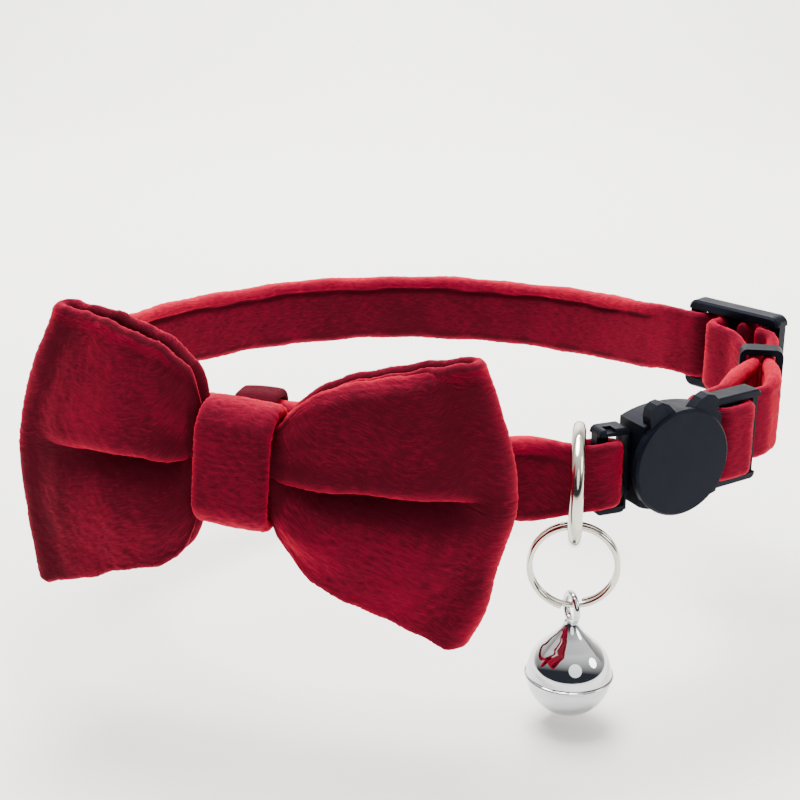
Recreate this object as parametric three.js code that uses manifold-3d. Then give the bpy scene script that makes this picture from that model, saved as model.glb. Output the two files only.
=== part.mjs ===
// Velvet cat collar with a bow tie, a breakaway cat head buckle and a bell on a split ring.
// Millimetres, +Z up. The origin is the middle of the neck opening, at half the strap's width.
// The bow and the buckle are at the front, toward -Y. Plan means the view straight down.
import * as THREE from 'three';
import { mergeVertices } from 'three/addons/utils/BufferGeometryUtils.js';
import Module from 'manifold-3d';

const wasm = await Module();
wasm.setup();

// Strap
const STRAP_WIDTH = 10;
const STRAP_THICKNESS = 2.4;
const PINCHED_THICKNESS = 1.5;
const STRAP_EDGE_RADIUS = 0.6;
const LOOP_HALF_WIDTH = 48.2;
const LOOP_HALF_DEPTH = 36;
const KNOT_LIFT = 4.4;
const SEWN_RETURN = 11;
const SEWN_REST = 0.75;
const SEWN_NARROWING = 0.9;
const EASED_THICKNESS = 0.85;
const LOOSE_THICKNESS = 0.8;
const EASED_WIDTH = 0.95;
const LAYER_SPREAD = 0.25;
const GAP = 0.3;

// Breakaway buckle
const BUCKLE_X = 0.586 * LOOP_HALF_WIDTH;
const BUCKLE_Y = -0.8194 * LOOP_HALF_DEPTH;
const BUCKLE_LIFT = 1.1;
const BUCKLE_TURN = 27;
const BUCKLE_CURVE = 6;
const FRAME_HEIGHT = 11.4;
const FRAME_DEPTH = 2.6;
const RAIL_HEIGHT = 0.85;
const BAR_THICKNESS = 1.4;
const HEAD_HALF_LENGTH = 5.8;
const HEAD_HEIGHT = 11.6;
const HEAD_BACK = 1.5;
const MALE_BAR_WIDTH = 1.4;
const MALE_HEIGHT = 10.4;
const MALE_LIFT = 0.3;
const MIDDLE_BAR_WIDTH = 3;
const END_BAR_WIDTH = 0.8;
const TONGUE_LENGTH = 4;
const TONGUE_HEIGHT = 6.4;
const FACE_RADIUS = 6.4;
const FACE_THICKNESS = 1.3;
const FACE_BEVEL = 0.25;
const FACE_RAISE = 0.35;
const EAR_WIDTH = 3.8;
const EAR_RISE = 2.1;
const EAR_THICKNESS = 1.5;
const EAR_TILT = 28;
const NOTCH_WIDTH = 1.1;
const NOTCH_DEPTH = 0.4;

// Slider
const SLIDER_X = 0.8215 * LOOP_HALF_WIDTH;
const SLIDER_Y = 0.3306 * LOOP_HALF_DEPTH;
const SLIDER_TURN = -47.2;
const SLIDER_LIFT = 2;
const SLIDER_LENGTH = 14.5;
const SLIDER_HEIGHT = 12.6;
const SLIDER_DEPTH = 2.8;
const SLIDER_RAIL = 1.3;
const SLIDER_BAR = 1.7;
const SLIDER_CORNER = 1.2;

// Keeper loop
const KEEPER_X = 0.9305 * LOOP_HALF_WIDTH;
const KEEPER_Y = -0.1778 * LOOP_HALF_DEPTH;
const KEEPER_TURN = 80;
const KEEPER_LIFT = 0.7;
const KEEPER_WIRE = 0.8;
const KEEPER_WIDTH = 2.6;

// Bow
const BOW_ROLL = 5;
const KNOT_WIDTH = 8.5;
const KNOT_WALL = 1.5;
const KNOT_CORNER = 2.1;
const KNOT_EASE = 0.45;
const WAIST_HALF_HEIGHT = 5.1;
const BOW_WALL = 1.6;
const BOW_REACH = 29.5;
const BOW_HALF_HEIGHT = 18;
const BOW_PUFF = 3;
const FOLD_RADIUS = 1.3;
const CREASE_DEPTH = 1.7;
const CREASE_HALF_WIDTH = 0.17;
const GATHER_DEPTH = 0.35;
const LEFT_SWEEP = 8;
const RIGHT_SWEEP = 8;
const BOW_LOOP_WALL = 0.9;
const BOW_LOOP_EASE = 0.5;
const BOW_LOOP_WIDTH = 5;

// Ring, split ring and bell
const RING_TURN = 7.65;
const RING_WIRE = 1.6;
const RING_OUTSIDE = 14.4;
const RING_SEAT = 0.8;
const RING_SAG = 0.15;
const LINK_GAP = 0.2;
const SPLIT_WIRE = 0.7;
const SPLIT_OUTSIDE = 10.8;
const SPLIT_TURNS = 1.9;
const SPLIT_PITCH = 0.82;
const BELL_RADIUS = 5.05;
const BELL_WALL = 0.45;
const BELL_LOOP_WIRE = 0.8;
const BELL_LOOP_EYE = 2.6;
const BELL_LOOP_EASE = 0.35;
const BELL_LOOP_TURN = 15;
const BELL_NECK_RADIUS = 0.75;
const BELL_DROP = 8.6;
const BELL_LIP = 0.25;
const BELL_SLOT = 0.9;
const BELL_SLOT_TURN = -18;
const BELL_HOLE = 2;
const BELL_SLOT_TOP = 0.32;
const BELL_HOLE_DROP = 0.42;
const PEA_RADIUS = 1.4;

const degrees = THREE.MathUtils.degToRad;
const up = new THREE.Vector3(0, 0, 1);

// Free run of the strap, from the buckle's tongue half round the neck to the slider.
// x and y are shares of the loop's half width and half depth, lift is a share of the knot's lift.
const FREE_RUN = [
  { x: 0.26, y: -0.972, lift: 0 },
  { x: 0.083, y: -1, lift: 0.15 },
  { x: -0.124, y: -1, lift: 0.72 },
  { x: -0.361, y: -0.965, lift: 1 },
  { x: -0.56, y: -0.85, lift: 0.85 },
  { x: -0.778, y: -0.667, lift: 0.35 },
  { x: -0.923, y: -0.403, lift: 0.08 },
  { x: -1, y: -0.097, lift: 0 },
  { x: -0.958, y: 0.208, lift: 0 },
  { x: -0.83, y: 0.433, lift: 0 },
  { x: -0.71, y: 0.619, lift: 0 },
  { x: -0.539, y: 0.8, lift: 0 },
  { x: -0.365, y: 0.922, lift: 0 },
  { x: -0.114, y: 1, lift: 0 },
  { x: 0.141, y: 0.983, lift: 0 },
  { x: 0.382, y: 0.878, lift: 0 },
  { x: 0.605, y: 0.665, lift: 0.1 },
];
const KNOT_ROW = 3;

// Where the strap lies between its fittings. run is a share of the way to the next fitting, and out a share
// of the strap's thickness, away from the neck.
const SEWN_RETURN_REST = { end: -1.58, middle: -1.29, front: -0.17 };
const SLIDER_ENTRY = { run: 0.52, out: 0.46, bend: 12 };
const SLIDER_APPROACH = { run: 0.162, bend: 9 };
const SLIDER_EXIT = { out: -0.1, bend: 3 };
const KEEPER_ENTRY = { run: 0.456, out: 0.31, rise: 0.2 };
const OUTER_LAYER = [
  { run: 0.3, out: 0.08 },
  { run: 0.565, out: 0.04 },
];
const BUCKLE_ENTRY = { run: 0.775, out: -0.42, bend: 3 };
const BUCKLE_RETURN = { clear: 1.5, layers: 1.7, bend: 3 };
const INNER_LAYER = [
  { run: 0.387, out: -1 },
  { run: 0.238, out: -0.5 },
];
const KEEPER_RETURN = { run: 0.468, out: -0.5 };
const SLIDER_RETURN = { along: 0.72, layers: 1.9, bend: 4 };
const SLIDER_TUCK = { layers: 1.45, bends: 2 };

// Outline of each half of the bow. along runs from the waist to the outer fold.
// top and bottom are shares of the half height, puff of the bow's puff and crease of its depth.
const LEFT_WING = [
  { along: 0, top: 0.303, bottom: -0.268, puff: 0.34, crease: 0.2 },
  { along: 0.04, top: 0.49, bottom: -0.48, puff: 0.46, crease: 0.5 },
  { along: 0.1, top: 0.6, bottom: -0.61, puff: 0.64, crease: 0.8 },
  { along: 0.2, top: 0.685, bottom: -0.69, puff: 0.84, crease: 1 },
  { along: 0.3, top: 0.735, bottom: -0.73, puff: 0.95, crease: 1 },
  { along: 0.5, top: 0.795, bottom: -0.8, puff: 1, crease: 0.9 },
  { along: 0.75, top: 0.845, bottom: -0.91, puff: 0.8, crease: 0.4 },
  { along: 1, top: 0.883, bottom: -1.005, puff: 0.43, crease: 0 },
];
const RIGHT_WING = [
  { along: 0, top: 0.263, bottom: -0.308, puff: 0.34, crease: 0.3 },
  { along: 0.04, top: 0.34, bottom: -0.45, puff: 0.44, crease: 0.5 },
  { along: 0.1, top: 0.42, bottom: -0.555, puff: 0.58, crease: 0.8 },
  { along: 0.2, top: 0.495, bottom: -0.68, puff: 0.74, crease: 1 },
  { along: 0.3, top: 0.54, bottom: -0.75, puff: 0.85, crease: 1 },
  { along: 0.5, top: 0.605, bottom: -0.857, puff: 0.9, crease: 1 },
  { along: 0.75, top: 0.665, bottom: -0.975, puff: 0.72, crease: 0.85 },
  { along: 1, top: 0.705, bottom: -1.105, puff: 0.43, crease: 0 },
];
// The outer fold line: its reach from the knot's middle, a share of the bow's reach, at each height.
const LEFT_FOLD = [
  { height: -1, reach: 0.893 },
  { height: -0.5, reach: 0.911 },
  { height: -0.1, reach: 0.925 },
  { height: 0.2, reach: 0.897 },
  { height: 0.55, reach: 0.828 },
  { height: 1, reach: 0.72 },
];
const RIGHT_FOLD = [
  { height: -1, reach: 0.815 },
  { height: -0.7, reach: 0.889 },
  { height: -0.4, reach: 0.93 },
  { height: 0, reach: 0.983 },
  { height: 0.3, reach: 0.975 },
  { height: 0.6, reach: 0.935 },
  { height: 1, reach: 0.866 },
];
const LEFT_CREASE_HEIGHT = 0.05;
const RIGHT_CREASE_HEIGHT = 0.06;

// Bell profile from the neck down to the shoulder, as shares of the bell's radius.
const BELL_SHOULDER = [
  { out: 0.19, up: 1.26 },
  { out: 0.33, up: 1.1 },
  { out: 0.53, up: 0.93 },
];

const velvet = { color: 0x8f0a26, roughness: 0.95, metalness: 0 };
const plastic = { color: 0x1b202b, roughness: 0.45, metalness: 0 };
const nickel = { color: 0xc9cbc8, roughness: 0.22, metalness: 1 };
const chrome = { color: 0xe2e4e6, roughness: 0.1, metalness: 1 };

const part = new THREE.Group();

function addNode(name, geometry, finish, matrix) {
  const mesh = new THREE.Mesh(geometry, new THREE.MeshStandardMaterial(finish));
  mesh.name = name;
  if (matrix) mesh.applyMatrix4(matrix);
  part.add(mesh);
}

// Solids for joins and cuts
function toSolid(geometry, matrix = new THREE.Matrix4()) {
  let plain = geometry.clone().applyMatrix4(matrix);
  plain.deleteAttribute('normal');
  plain.deleteAttribute('uv');
  plain = mergeVertices(plain, 1e-4);
  const vertProperties = new Float32Array(plain.attributes.position.array);
  const triVerts = new Uint32Array(plain.index.array);
  return new wasm.Manifold(new wasm.Mesh({ numProp: 3, vertProperties, triVerts }));
}

function toGeometry(solid) {
  const mesh = solid.getMesh();
  const geometry = new THREE.BufferGeometry();
  geometry.setAttribute('position', new THREE.BufferAttribute(new Float32Array(mesh.vertProperties), 3));
  geometry.setIndex(new THREE.BufferAttribute(new Uint32Array(mesh.triVerts), 1));
  geometry.computeVertexNormals();
  return geometry;
}

function box(x0, x1, y0, y1, z0, z1) {
  const geometry = new THREE.BoxGeometry(x1 - x0, y1 - y0, z1 - z0);
  return toSolid(geometry).translate([(x0 + x1) / 2, (y0 + y1) / 2, (z0 + z1) / 2]);
}

// A value from a table, smoothly between its rows.
function lookUp(rows, key, at, column) {
  const last = rows.length - 1;
  let i = 0;
  while (i < last - 1 && at > rows[i + 1][key]) i += 1;
  const share = THREE.MathUtils.clamp((at - rows[i][key]) / (rows[i + 1][key] - rows[i][key]), 0, 1);
  const p1 = rows[i][column];
  const p2 = rows[i + 1][column];
  const span = rows[i + 1][key] - rows[i][key];
  const slope = (j) => (j <= 0 || j >= last ? (p2 - p1) / span
    : (rows[j + 1][column] - rows[j - 1][column]) / (rows[j + 1][key] - rows[j - 1][key]));
  const m1 = slope(i) * span;
  const m2 = slope(i + 1) * span;
  const s2 = share * share;
  const s3 = s2 * share;
  return (2 * s3 - 3 * s2 + 1) * p1 + (s3 - 2 * s2 + share) * m1 + (3 * s2 - 2 * s3) * p2 + (s3 - s2) * m2;
}

// A flat frame in plan: along is its own x, out is square to it, away from the neck.
// clockwise frames run the other way round the neck.
function planFrame(x, y, turn, clockwise = false) {
  const along = new THREE.Vector2(Math.cos(degrees(turn)), Math.sin(degrees(turn)));
  const out = new THREE.Vector2(Math.sin(degrees(turn)), -Math.cos(degrees(turn)));
  if (clockwise) out.negate();
  return { origin: new THREE.Vector2(x, y), along, out };
}

function inPlan(frame, along, out) {
  return frame.origin.clone().addScaledVector(frame.along, along).addScaledVector(frame.out, out);
}

// Local axes of a hardware frame: x along the strap, z up, and the front toward -y
function frameMatrix(frame, lift) {
  const x = new THREE.Vector3(frame.along.x, frame.along.y, 0);
  const y = new THREE.Vector3().crossVectors(up, x);
  return new THREE.Matrix4().makeBasis(x, y, up).setPosition(frame.origin.x, frame.origin.y, lift);
}

// The buckle's head and its two strap frames, which curve back round the neck
const head = planFrame(BUCKLE_X, BUCKLE_Y, BUCKLE_TURN);
const maleEdge = inPlan(head, -HEAD_HALF_LENGTH, 0);
const femaleEdge = inPlan(head, HEAD_HALF_LENGTH, 0);
const male = planFrame(maleEdge.x, maleEdge.y, BUCKLE_TURN - BUCKLE_CURVE);
const female = planFrame(femaleEdge.x, femaleEdge.y, BUCKLE_TURN + BUCKLE_CURVE);
const slider = planFrame(SLIDER_X, SLIDER_Y, SLIDER_TURN, true);
const keeper = planFrame(KEEPER_X, KEEPER_Y, KEEPER_TURN);

const layer = PINCHED_THICKNESS + GAP;
const slotLength = PINCHED_THICKNESS + 2 * GAP;
const overBar = BAR_THICKNESS / 2 + GAP + PINCHED_THICKNESS / 2;
const midSlot = slotLength / 2;
const maleLength = slotLength + MALE_BAR_WIDTH;
const endSlotMiddle = slotLength + MIDDLE_BAR_WIDTH + midSlot;
const femaleLength = 2 * slotLength + MIDDLE_BAR_WIDTH + END_BAR_WIDTH;
const gathered = FRAME_HEIGHT - 2 * RAIL_HEIGHT - 2 * GAP;
const maleGathered = MALE_HEIGHT - 2 * RAIL_HEIGHT - 2 * GAP;
const sliderGathered = SLIDER_HEIGHT - 2 * SLIDER_RAIL - 2 * GAP;

// The ring stands clear of the tongue half's end. It is turned away from square to the strap.
const ringSkew = degrees(BUCKLE_TURN - BUCKLE_CURVE + RING_TURN);
const ringReach = RING_WIRE / 2 + (FRAME_DEPTH / 2) * Math.sin(ringSkew);
const ringAcross = maleLength + GAP + ringReach / Math.cos(ringSkew);

// The slider's bars and the strap's way through it
const sliderSlot = (SLIDER_LENGTH - 3 * SLIDER_BAR) / 2;
const backSlotStart = SLIDER_BAR;
const middleBarStart = SLIDER_BAR + sliderSlot;
const frontSlotStart = middleBarStart + SLIDER_BAR;
const frontBarStart = frontSlotStart + sliderSlot;
const half = PINCHED_THICKNESS / 2 + GAP;

// Ways from fitting to fitting
const runEnd = FREE_RUN.at(-1);
const runToSlider = new THREE.Vector2(runEnd.x * LOOP_HALF_WIDTH, runEnd.y * LOOP_HALF_DEPTH)
  .distanceTo(slider.origin);
const sliderToKeeper = inPlan(slider, SLIDER_LENGTH, 0).distanceTo(keeper.origin);
const keeperToBuckle = keeper.origin.distanceTo(inPlan(female, femaleLength, 0));

// One stop on the strap's way. bend is the radius that rounds the corner there.
function stop(frame, along, out, lift, options = {}) {
  return { at: inPlan(frame, along, out), lift, thickness: PINCHED_THICKNESS, width: gathered, ...options };
}

function freeRun() {
  const points = FREE_RUN.map((row) => new THREE.Vector3(
    row.x * LOOP_HALF_WIDTH, row.y * LOOP_HALF_DEPTH, row.lift * KNOT_LIFT));
  const curve = new THREE.CatmullRomCurve3(points, false, 'centripetal');
  const stepsPerRow = 4;
  const count = (FREE_RUN.length - 1) * stepsPerRow;
  const stops = [];
  for (let i = 0; i <= count; i += 1) {
    const p = curve.getPoint(i / count);
    stops.push({
      at: new THREE.Vector2(p.x, p.y), lift: p.z, thickness: STRAP_THICKNESS, width: STRAP_WIDTH,
    });
  }
  return stops;
}

// The whole strap is one strip. It starts as the return sewn behind the buckle's tongue half, runs round
// the neck, through the slider and the keeper, round the buckle's other half, and ends round the slider.
function strapStops() {
  const thick = STRAP_THICKNESS;
  const turn = { bend: half };
  const atRing = { width: STRAP_WIDTH * RING_SEAT };
  const sewn = { width: atRing.width * SEWN_NARROWING };
  const sewnLift = MALE_LIFT - maleGathered / 2 + sewn.width / 2;
  const maleLift = MALE_LIFT - maleGathered / 2 + atRing.width / 2;
  const eased = { thickness: thick * EASED_THICKNESS, width: STRAP_WIDTH * EASED_WIDTH };
  const high = overBar + layer;
  const inKeeper = KEEPER_WIDTH / 2;
  const inSlider = { width: sliderGathered };
  const turnInSlider = { width: sliderGathered, bend: half };
  const keeperWide = { width: STRAP_WIDTH * EASED_WIDTH };
  const loose = { thickness: thick * LOOSE_THICKNESS, width: STRAP_WIDTH };
  const returnEnd = midSlot + SEWN_RETURN;
  const ringLayer = layer / 2 + LAYER_SPREAD;
  const outer = layer / 2;
  const { front, middle, end } = SEWN_RETURN_REST;
  return [
    stop(male, -returnEnd, thick * end, 0, sewn),
    stop(male, -returnEnd * SEWN_REST, thick * middle, 0, sewn),
    stop(male, -ringAcross, -ringLayer, -RING_SAG, sewn),
    stop(male, -maleLength, -overBar, sewnLift, sewn),
    stop(male, -midSlot, -overBar, sewnLift, { ...turn, ...sewn }),
    stop(male, -midSlot, overBar, maleLift, { ...turn, ...atRing }),
    stop(male, -maleLength, overBar, maleLift, atRing),
    stop(male, -ringAcross, ringLayer, -RING_SAG, atRing),
    stop(male, -returnEnd * SEWN_REST, thick * front, -RING_SAG / 2, eased),
    ...freeRun(),
    stop(slider, -runToSlider * SLIDER_ENTRY.run, -overBar + thick * SLIDER_ENTRY.out, SLIDER_LIFT / 2,
      { ...eased, width: STRAP_WIDTH, bend: SLIDER_ENTRY.bend }),
    stop(slider, -runToSlider * SLIDER_APPROACH.run, -overBar, SLIDER_LIFT,
      { ...inSlider, bend: SLIDER_APPROACH.bend }),
    stop(slider, backSlotStart + half, -overBar, SLIDER_LIFT, turnInSlider),
    stop(slider, backSlotStart + half + GAP, high, SLIDER_LIFT, turnInSlider),
    stop(slider, frontBarStart - half - GAP, high, SLIDER_LIFT, turnInSlider),
    stop(slider, frontBarStart - half, -overBar, SLIDER_LIFT, turnInSlider),
    stop(slider, SLIDER_LENGTH, -overBar + thick * SLIDER_EXIT.out, SLIDER_LIFT,
      { ...inSlider, bend: SLIDER_EXIT.bend }),
    stop(keeper, sliderToKeeper * KEEPER_ENTRY.run, outer + thick * KEEPER_ENTRY.out,
      KEEPER_LIFT + KEEPER_ENTRY.rise, keeperWide),
    stop(keeper, inKeeper, outer, KEEPER_LIFT, keeperWide),
    stop(keeper, -inKeeper, outer, KEEPER_LIFT, keeperWide),
    ...OUTER_LAYER.map((row) => (
      stop(keeper, -keeperToBuckle * row.run, outer + thick * row.out, BUCKLE_LIFT, loose))),
    stop(keeper, -keeperToBuckle * BUCKLE_ENTRY.run, outer + thick * BUCKLE_ENTRY.out, BUCKLE_LIFT,
      { bend: BUCKLE_ENTRY.bend }),
    stop(female, endSlotMiddle, -overBar, BUCKLE_LIFT, turn),
    stop(female, endSlotMiddle, overBar, BUCKLE_LIFT, turn),
    stop(female, midSlot, overBar, BUCKLE_LIFT, turn),
    stop(female, midSlot, -overBar - layer, BUCKLE_LIFT, { bend: half + GAP }),
    stop(female, endSlotMiddle + BUCKLE_RETURN.clear, -overBar - layer * BUCKLE_RETURN.layers, BUCKLE_LIFT,
      { bend: BUCKLE_RETURN.bend }),
    ...INNER_LAYER.map((row) => (
      stop(keeper, -keeperToBuckle * row.run, -outer + thick * row.out, KEEPER_LIFT, loose))),
    stop(keeper, -inKeeper, -outer, KEEPER_LIFT, keeperWide),
    stop(keeper, inKeeper, -outer, KEEPER_LIFT, keeperWide),
    stop(keeper, sliderToKeeper * KEEPER_RETURN.run, -outer + thick * KEEPER_RETURN.out, KEEPER_LIFT,
      keeperWide),
    stop(slider, SLIDER_LENGTH * SLIDER_RETURN.along, -overBar - layer * SLIDER_RETURN.layers, SLIDER_LIFT,
      { ...inSlider, bend: SLIDER_RETURN.bend }),
    stop(slider, middleBarStart - half, -overBar - layer * SLIDER_TUCK.layers, SLIDER_LIFT,
      { ...inSlider, bend: half * SLIDER_TUCK.bends }),
    stop(slider, middleBarStart - half, overBar, SLIDER_LIFT, turnInSlider),
    stop(slider, frontSlotStart + half, overBar, SLIDER_LIFT, turnInSlider),
    stop(slider, frontSlotStart + half, -overBar + GAP, SLIDER_LIFT, inSlider),
  ];
}

// Turns the stops into stations, with an arc of short steps at each rounded corner.
function roundCorners(stops) {
  const stations = [];
  stops.forEach((here, i) => {
    const before = stops[i - 1];
    const after = stops[i + 1];
    if (!here.bend || !before || !after) {
      stations.push(here);
      return;
    }
    const toBefore = before.at.clone().sub(here.at);
    const toAfter = after.at.clone().sub(here.at);
    const dirIn = toBefore.clone().normalize();
    const dirOut = toAfter.clone().normalize();
    const corner = Math.acos(THREE.MathUtils.clamp(dirIn.dot(dirOut), -1, 1));
    const shorterLeg = Math.min(toBefore.length(), toAfter.length());
    const reach = Math.min(here.bend / Math.tan(corner / 2), shorterLeg / 2);
    const radius = reach * Math.tan(corner / 2);
    const bisector = dirIn.clone().add(dirOut).normalize();
    const centre = here.at.clone().addScaledVector(bisector, radius / Math.sin(corner / 2));
    const from = here.at.clone().addScaledVector(dirIn, reach).sub(centre);
    const to = here.at.clone().addScaledVector(dirOut, reach).sub(centre);
    const sweep = Math.atan2(from.x * to.y - from.y * to.x, from.dot(to));
    const steps = Math.max(2, Math.ceil(Math.abs(sweep) / degrees(24)));
    for (let k = 0; k <= steps; k += 1) {
      const spoke = from.clone().rotateAround(new THREE.Vector2(), (sweep * k) / steps);
      stations.push({ ...here, at: centre.clone().add(spoke) });
    }
  });
  return stations;
}

// Rounded oblong outline, width across x and height along y
function roundedOblong(width, height, radius, Type = THREE.Shape) {
  const w = width / 2;
  const h = height / 2;
  const r = Math.min(radius, w * 0.98, h * 0.98);
  const shape = new Type();
  shape.moveTo(w, -h + r);
  shape.lineTo(w, h - r);
  shape.absarc(w - r, h - r, r, 0, Math.PI / 2, false);
  shape.lineTo(-w + r, h);
  shape.absarc(-w + r, h - r, r, Math.PI / 2, Math.PI, false);
  shape.lineTo(-w, -h + r);
  shape.absarc(-w + r, -h + r, r, Math.PI, Math.PI * 1.5, false);
  shape.lineTo(w - r, -h);
  shape.absarc(w - r, -h + r, r, Math.PI * 1.5, Math.PI * 2, false);
  return shape;
}

// Skin over rings of points. Rings run along the solid, with capped ends unless it closes on itself.
function skin(rings, closed) {
  const count = rings[0].length;
  const positions = rings.flat().flatMap((p) => [p.x, p.y, p.z]);
  const index = [];
  const last = closed ? rings.length : rings.length - 1;
  for (let i = 0; i < last; i += 1) {
    const a = i * count;
    const b = ((i + 1) % rings.length) * count;
    for (let j = 0; j < count; j += 1) {
      const k = (j + 1) % count;
      index.push(a + j, b + j, b + k, a + j, b + k, a + k);
    }
  }
  if (!closed) {
    const end = (rings.length - 1) * count;
    for (let j = 1; j < count - 1; j += 1) {
      index.push(0, j, j + 1);
      index.push(end, end + j + 1, end + j);
    }
  }
  const geometry = new THREE.BufferGeometry();
  geometry.setAttribute('position', new THREE.Float32BufferAttribute(positions, 3));
  geometry.setIndex(index);
  geometry.computeVertexNormals();
  return geometry;
}

// The strap's cross section: an oblong with rounded corners, thickness along x and width along y
function strapSection(thickness, width) {
  const r = Math.min(STRAP_EDGE_RADIUS, thickness * 0.45);
  const cornerSteps = 1;
  const points = [];
  for (const [sideX, sideY, start] of [[1, 1, 0], [-1, 1, 90], [-1, -1, 180], [1, -1, 270]]) {
    for (let k = 0; k <= cornerSteps; k += 1) {
      const angle = degrees(start + (90 * k) / cornerSteps);
      points.push({
        x: sideX * (thickness / 2 - r) + r * Math.cos(angle),
        y: sideY * (width / 2 - r) + r * Math.sin(angle),
      });
    }
  }
  return points;
}

function strapGeometry() {
  const stations = roundCorners(strapStops());
  const rings = stations.map((station, i) => {
    const before = stations[Math.max(i - 1, 0)].at;
    const after = stations[Math.min(i + 1, stations.length - 1)].at;
    const along = after.clone().sub(before).normalize();
    const out = new THREE.Vector2(along.y, -along.x);
    return strapSection(station.thickness, station.width).map((p) => new THREE.Vector3(
      station.at.x + out.x * p.x, station.at.y + out.y * p.x, station.lift + p.y));
  });
  return skin(rings, false);
}
addNode('strap', strapGeometry(), velvet);

// A plate whose outline is drawn along x and up z. back and front are its faces' distances to the front.
function plate(shape, back, front, bevel = 0, curveSegments = 3) {
  const geometry = new THREE.ExtrudeGeometry(shape, {
    depth: front - back - 2 * bevel, bevelEnabled: bevel > 0, bevelSize: bevel, bevelThickness: bevel,
    bevelOffset: -bevel, bevelSegments: 1, curveSegments,
  });
  const upright = new THREE.Matrix4().makeBasis(
    new THREE.Vector3(1, 0, 0), new THREE.Vector3(0, 0, 1), new THREE.Vector3(0, -1, 0));
  return toSolid(geometry, upright).translate([0, -back - bevel, 0]);
}

// A frame of rails and bars. bars lists each bar's start and end along x.
function barFrame(start, end, height, depth, rail, corner, bars) {
  const outline = roundedOblong(end - start, height, corner);
  const middle = (start + end) / 2;
  let frame = plate(outline, -depth / 2, depth / 2, corner * 0.25).translate([middle, 0, 0]);
  const inside = height / 2 - rail;
  frame = frame.subtract(box(start - 1, end + 1, -depth, depth, -inside, inside));
  for (const bar of bars) {
    const reach = inside + rail / 2;
    frame = frame.add(box(bar.start, bar.end, -bar.thickness / 2, bar.thickness / 2, -reach, reach));
  }
  return frame;
}

function inHeadFrame(solid, frame) {
  const toHead = frameMatrix(head, 0).invert().multiply(frameMatrix(frame, 0));
  return solid.transform(toHead.elements);
}

// Tongue half: strap bar and frame on the left, tongue into the head on the right
function maleHalf() {
  const corner = 0.7;
  const bars = [
    { start: -maleLength, end: -slotLength, thickness: BAR_THICKNESS },
    { start: 0, end: GAP, thickness: FRAME_DEPTH },
  ];
  let frame = barFrame(-maleLength, GAP, MALE_HEIGHT, FRAME_DEPTH, RAIL_HEIGHT, corner, bars);
  const notchMiddle = -maleLength + MALE_BAR_WIDTH;
  frame = frame.subtract(box(notchMiddle - NOTCH_WIDTH / 2, notchMiddle + NOTCH_WIDTH / 2,
    -FRAME_DEPTH, 0, MALE_HEIGHT / 2 - NOTCH_DEPTH, MALE_HEIGHT));
  const tongue = box(-HEAD_HALF_LENGTH, -HEAD_HALF_LENGTH + TONGUE_LENGTH,
    -BAR_THICKNESS / 2, BAR_THICKNESS / 2, -TONGUE_HEIGHT / 2, TONGUE_HEIGHT / 2);
  return inHeadFrame(frame, male).translate([0, 0, MALE_LIFT - BUCKLE_LIFT]).add(tongue);
}

const faceBack = overBar + PINCHED_THICKNESS / 2 + GAP;
const faceFront = faceBack + FACE_THICKNESS;

function ear(side) {
  const w = EAR_WIDTH / 2;
  const root = FACE_RADIUS * 0.8;
  const tip = FACE_RADIUS + EAR_RISE;
  const shape = new THREE.Shape();
  shape.moveTo(-w, root);
  shape.lineTo(w, root);
  shape.lineTo(w * 0.93, FACE_RADIUS * 0.98);
  shape.quadraticCurveTo(w * 0.72, tip, 0, tip);
  shape.quadraticCurveTo(-w * 0.72, tip, -w * 0.93, FACE_RADIUS * 0.98);
  shape.closePath();
  const solid = plate(shape, faceFront - FACE_RAISE - EAR_THICKNESS, faceFront - FACE_RAISE);
  return solid.rotate([0, side * EAR_TILT, 0]);
}

// Socket half: the head with its round face and two ears, and the window frame on the right
function femaleHalf() {
  const start = -HEAD_HALF_LENGTH + 2 * GAP + (FRAME_DEPTH / 2) * Math.tan(degrees(BUCKLE_CURVE));
  const shellOutline = new THREE.Shape();
  const shoulder = FRAME_HEIGHT / 2 - RAIL_HEIGHT;
  const crown = HEAD_HEIGHT / 2;
  shellOutline.moveTo(start, -shoulder);
  shellOutline.quadraticCurveTo(start * 0.55, -crown, 0, -crown);
  shellOutline.quadraticCurveTo(HEAD_HALF_LENGTH * 0.55, -crown, HEAD_HALF_LENGTH, -shoulder);
  shellOutline.lineTo(HEAD_HALF_LENGTH, shoulder);
  shellOutline.quadraticCurveTo(HEAD_HALF_LENGTH * 0.55, crown, 0, crown);
  shellOutline.quadraticCurveTo(start * 0.55, crown, start, shoulder);
  let solid = plate(shellOutline, -HEAD_BACK, faceBack + GAP, 0, 6);
  const face = new THREE.Shape().absarc(0, 0, FACE_RADIUS, 0, Math.PI * 2, false);
  solid = solid.add(plate(face, faceBack, faceFront, FACE_BEVEL, 40));
  solid = solid.add(ear(1)).add(ear(-1));
  const pocket = box(start - 1, -HEAD_HALF_LENGTH + TONGUE_LENGTH + GAP,
    -BAR_THICKNESS / 2 - GAP, BAR_THICKNESS / 2 + GAP, -TONGUE_HEIGHT / 2 - GAP, TONGUE_HEIGHT / 2 + GAP);
  const bars = [
    { start: -GAP, end: 0, thickness: FRAME_DEPTH },
    { start: slotLength, end: slotLength + MIDDLE_BAR_WIDTH, thickness: BAR_THICKNESS },
    { start: femaleLength - END_BAR_WIDTH, end: femaleLength, thickness: BAR_THICKNESS },
  ];
  const window = barFrame(-1, femaleLength, FRAME_HEIGHT, FRAME_DEPTH, RAIL_HEIGHT, 0.7, bars);
  return solid.subtract(pocket).add(inHeadFrame(window, female));
}
addNode('buckle_tongue_half', toGeometry(maleHalf()), plastic, frameMatrix(head, BUCKLE_LIFT));
addNode('buckle_cat_head_half', toGeometry(femaleHalf()), plastic, frameMatrix(head, BUCKLE_LIFT));

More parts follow.
